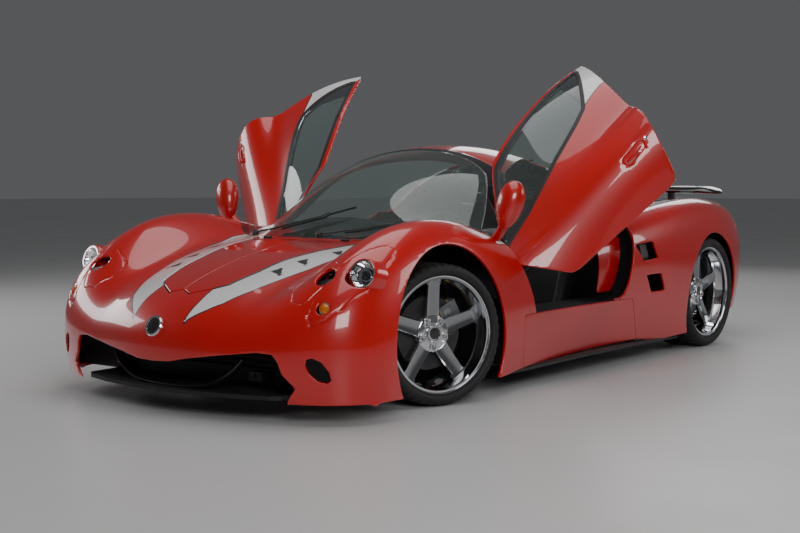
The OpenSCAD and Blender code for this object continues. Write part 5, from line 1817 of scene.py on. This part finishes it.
@dataclass
class Trim:
    """Mirrors, wipers, nose blade, spoiler and exhausts."""

    shell: Shell

    def at(self, *p: float) -> Vector:
        """A point of the axle frame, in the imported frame."""
        return Vector(p) + self.shell.shift

    def mirrors(self) -> None:
        """Two egg-shaped door mirrors on stalks."""
        alone()
        bpy.ops.mesh.primitive_uv_sphere_add(segments=48, ring_count=28, radius=1.0)
        egg = bpy.context.object
        egg.name = "egg"
        egg.data.materials.append(RED.material())
        n = len(egg.data.vertices)
        co = np.empty(n * 3)
        egg.data.vertices.foreach_get("co", co)
        co = co.reshape(-1, 3)
        grow = 1 + 0.16 * co[:, 2]
        co = np.stack([co[:, 0] * 0.066 * grow, co[:, 1] * 0.058 * grow, co[:, 2] * 0.120], 1)
        co[:, 1] = np.minimum(co[:, 1], 0.030)
        egg.data.vertices.foreach_set("co", co.reshape(-1))
        egg.data.update()
        smooth(egg, 40.0)
        place(egg, Matrix.Translation(self.at(0.922, -0.886, 0.898)) @ Matrix.Rotation(math.radians(12), 4,
                "Y")
              @ Matrix.Rotation(math.radians(-10), 4, "X"))
        glass = lathe("glass", [(-0.002, 0.0), (-0.002, 0.060), (0.0015, 0.060), (0.003, 0.057),
                                (0.003, 0.0)], 48, MIRROR,
                      Matrix.Translation(self.at(0.923, -0.857, 0.902)) @ Matrix.Rotation(math.radians(90), 4,
                              "Z")
                      @ Matrix.Rotation(math.radians(10), 4, "X") @ Matrix.Diagonal((1, 0.85, 1.42, 1)))
        stalk = tube("stalk", curve_through([self.at(0.828, -0.858, 0.738), self.at(0.862, -0.872, 0.772),
                                             self.at(0.890, -0.884, 0.806), self.at(0.912, -0.890, 0.846)]),
                     0.026, RED, 20, 0.8)
        left = joined("mirror_one", [egg, glass, stalk])
        right = copy_of(left, "mirror_two", Matrix.Scale(-1, 4, (1, 0, 0)))
        settle(joined("mirrors_look", [left, right]), "chassis", "body_red", "mirrors")

    def wipers(self) -> None:
        """Two wipers that lie on the glass."""
        parts = []
        for a, b in (((0.060, -1.262), (0.430, -0.985)), ((-0.420, -1.200), (0.040, -0.960))):
            run = []
            for k in range(13):
                t = k / 12
                x, y = a[0] + (b[0] - a[0]) * t, a[1] + (b[1] - a[1]) * t
                run.append(self.at(x, y, self.shell.height(x, y)))
            up = Vector((0, -0.35, 0.94))
            arm = [p + up * (0.016 - 0.005 * k / 12) for k, p in enumerate(run)]
            parts.append(tube("arm", arm[:10], [0.008 - 0.0004 * k for k in range(10)], SATIN, 12, 0.6))
            blade = [p + up * 0.0045 + Vector((0.012, 0.0, 0)) for p in run[3:]]
            parts.append(tube("blade", blade, 0.0042, RUBBER, 8, 1.2))
            parts.append(lathe("pivot", [(-0.012, 0.0), (-0.012, 0.017), (0.004, 0.016), (0.009, 0.011),
                                         (0.010, 0.0)], 32,
                               SATIN, aim(tuple(run[0] + up * 0.014), tuple(up))))
        settle(joined("wipers_look", parts), "chassis", "rubber", "wipers")

    def blade(self) -> None:
        """The U-shaped blade under the nose."""
        way = curve_through([self.at(-0.400, -2.165, 0.262), self.at(-0.330, -2.188, 0.190), self.at(-0.210,
                -2.205, 0.136),
                             self.at(0, -2.215, 0.124), self.at(0.210, -2.205, 0.136), self.at(0.330, -2.188,
                                     0.190),
                             self.at(0.400, -2.165, 0.262)], 8)
        settle(tube("nose_blade", way, 0.024, PIANO, 16, 0.42), "chassis", "gloss_black")

    def spoiler(self) -> None:
        """Wing section carried on two posts."""
        rings = []
        lead = ((-0.800, 1.742), (-0.735, 1.700), (-0.480, 1.712), (0, 1.720), (0.480, 1.712), (0.735, 1.700),
                (0.800, 1.742))
        back = ((-0.800, 1.790), (-0.776, 1.850), (-0.560, 1.925), (0, 1.956), (0.560, 1.925), (0.776, 1.850),
                (0.800, 1.790))
        for k in range(41):
            x = -0.800 + 0.04 * k
            f = np.interp(x, [p[0] for p in lead], [p[1] for p in lead])
            b = np.interp(x, [p[0] for p in back], [p[1] for p in back])
            c = b - f
            thick = 0.046 * min(1.0, 0.45 + (0.8 - abs(x)) * 5)
            rise = 0.907
            ring = []
            for u, top in ((0.0, .42), (0.04, .70), (0.15, .95), (0.35, 1.0), (0.6, .86), (0.85, .80),
                           (0.97, .98), (1.0, .90),
                           (0.99, .60), (0.85, .25), (0.6, .12), (0.35, .04), (0.15, .06), (0.04, .20)):
                ring.append(self.at(x, f + c * u, rise + thick * top))
            rings.append(ring)
        wing = loft("wing", rings, PIANO, 50.0)
        posts = []
        for s in (-1, 1):
            foot = self.shell.height(0.44, 1.80)
            posts.append(loft("post", [[self.at(s * 0.44 + a, 1.81 + b, z) for a, b in
                                        ((-0.012, 0), (-0.009, -0.036), (0, -0.050), (0.009, -0.036), (0.012,
                                                0), (0.009, 0.036),
                                         (0, 0.050), (-0.009, 0.036))] for z in (foot, 0.870, 0.918)], PIANO))
        settle(joined("spoiler_look", [wing] + posts), "chassis", "gloss_black", "rear_spoiler")

    def exhausts(self) -> None:
        """Two open tail pipes with rolled lips."""
        pipes = []
        for x in (-0.110, 0.110):
            frame = Matrix.Translation(self.at(x, 1.7005, 0.330)) @ Matrix.Rotation(math.radians(90), 4, "Z")
            pipes.append(lathe("pipe", [(0, 0.0), (0, 0.042), (0.250, 0.042), (0.262, 0.045), (0.372, 0.045),
                                        (0.379, 0.0435),
                                        (0.379, 0.041), (0.372, 0.0395), (0.030, 0.0375), (0.028, 0.0)], 64,
                               HEAT, frame))
        settle(joined("exhausts_look", pipes), "chassis", "steel_bright", "exhausts")

    def build(self) -> None:
        """Builds every piece of trim."""
        self.mirrors()
        self.wipers()
        self.blade()
        self.spoiler()
        self.exhausts()


@dataclass
class Cabin:
    """Seats and steering wheel."""

    shell: Shell
    seat_x: float = 0.395
    seat_w: float = 0.470
    column: Point = (0.395, -0.760, 0.640)
    column_dir: Point = (0.0, 0.90, 0.34)
    rim_d: float = 0.350

    def cushion(self, name: str, low: Point, high: Point, lean: float, soft: float) -> bpy.types.Object:
        """Builds a stuffed pad, leant about its own middle.

        Args:
            name: Its name.
            low: Its lowest corner.
            high: Its highest corner.
            lean: Its turn about X, in degrees.
            soft: Radius of its edges.

        Returns:
            The pad.
        """
        obj = block(name, low, high, LEATHER, soft, 6)
        mid = Vector([(a + b) / 2 for a, b in zip(low, high)])
        turn = Matrix.Translation(mid) @ Matrix.Rotation(math.radians(lean), 4,
                                                         "X") @ Matrix.Translation(-mid)
        return place(obj, turn)

    def seat(self) -> bpy.types.Object:
        """Builds one bucket seat: cushion, bolsters, back and head pad.

        Returns:
            The joined seat.
        """
        w = self.seat_w / 2
        parts = [self.cushion("cushion", (-w + 0.055, -0.350, 0.150), (w - 0.055, 0.100, 0.240), 4, 0.036),
                 self.cushion("thigh_l", (-w, -0.330, 0.135), (-w + 0.065, 0.110, 0.262), 4, 0.028),
                 self.cushion("thigh_r", (w - 0.065, -0.330, 0.135), (w, 0.110, 0.262), 4, 0.028),
                 self.cushion("back", (-w + 0.060, 0.195, 0.220), (w - 0.060, 0.270, 0.700), -21, 0.032),
                 self.cushion("wing_l", (-w + 0.012, 0.150, 0.230), (-w + 0.072, 0.270, 0.640), -21, 0.026),
                 self.cushion("wing_r", (w - 0.072, 0.150, 0.230), (w - 0.012, 0.270, 0.640), -21, 0.026),
                 self.cushion("head", (-0.110, 0.300, 0.690), (0.110, 0.372, 0.800), -18, 0.030),
                 block("base", (-w + 0.010, -0.320, 0.1288), (w - 0.010, 0.100, 0.170), TRIM, 0.008)]
        for x in (-0.060, 0.060):
            parts.append(tube("seam", [(x, -0.330, 0.2235), (x, -0.120, 0.2405), (x, 0.060, 0.2520)], 0.0024,
                              THREAD, 6))
        return joined("seat", parts)

    def build(self) -> None:
        """Builds both seats and the steering wheel."""
        seat = self.seat()
        pair = [copy_of(seat, f"seat_{k}", Matrix.Translation(self.shell.shift + Vector((x, 0, 0))))
                for k, x in enumerate((-self.seat_x, self.seat_x))]
        bpy.data.objects.remove(seat)
        both = settle(joined("seats_look", pair), "chassis", "seat_leather", "seats")
        d = Vector(self.column_dir).normalized()
        middle = Vector(self.column) + self.shell.shift + d * 0.1205
        frame = aim(tuple(middle), tuple(d))
        r = self.rim_d / 2 - 0.015
        ring = lathe("grip", [(0.020 + 0.015 * math.sin(a), r + 0.015 * math.cos(a)) for a in
                              [math.tau * k / 16 for k in range(17)]], 96, LEATHER, frame)
        hub = lathe("hub", [(0.0, 0.0), (0.0, 0.044), (0.022, 0.045), (0.030, 0.036), (0.031, 0.0)], 48, TRIM,
                    frame)
        arms = [place(block("arm", (0.008, -0.016, 0.030), (0.018, 0.016, r), DARK_STEEL, 0.003),
                      frame @ Matrix.Rotation(math.radians(a), 4, "X")) for a in (0, 90, 180)]
        settle(joined("steering_look", [ring, hub] + arms), "steering_wheel", "trim", "steering_wheel")


CARRIED: dict[str, Finish] = {
    "tub": SATIN, "front_splitter": RUBBER, "grille": RUBBER, "engine": CAST, "gearbox": CAST,
                              "dashboard": TRIM,
    "console": TRIM, "seats": LEATHER, "steering_column": DARK_STEEL, "steering_wheel": TRIM,
                              "rear_spoiler": PIANO,
    "mirrors": RED, "wipers": RUBBER, "exhausts": HEAT, "diffuser": SATIN, "subframes": DARK_STEEL,
    "suspension_arms": DARK_STEEL, "rear_uprights": CAST, "half_shafts": STEEL, "knuckle_left": CAST,
    "knuckle_right": CAST, "door_hinges": DARK_STEEL, "lid_hinges": DARK_STEEL, "tail_lamps": RUBY,
    "headlamps": MIRROR, "indicators": AMBER, "tyre_front_left": TYRE, "tyre_front_right": TYRE,
    "tyre_rear_left": TYRE, "tyre_rear_right": TYRE, "wheel_front_left": CHROME, "wheel_front_right": CHROME,
    "wheel_rear_left": CHROME, "wheel_rear_right": CHROME,
}


def dress_frame(frame: dict) -> None:
    """Gives every CAD node that stays a procedural finish of its own.
    """
    for name, obj in frame["nodes"].items():
        finish = CARRIED.get(name, SATIN)
        obj.data.materials.clear()
        obj.data.materials.append(finish.material())


def main() -> None:
    """Builds the studio and every sub-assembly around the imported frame."""
    logging.basicConfig(level=logging.INFO, format="%(name)s %(message)s")
    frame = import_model()
    dress_frame(frame)
    Studio().build()
    shell = Shell()
    zones = Zones(shell)
    Body(shell, zones).build()
    Doors(shell, zones).build()
    Running(shell).build()
    Lamps(zones).build()
    Trim(shell).build()
    Cabin(shell).build()


if __name__ == "__main__":
    main()
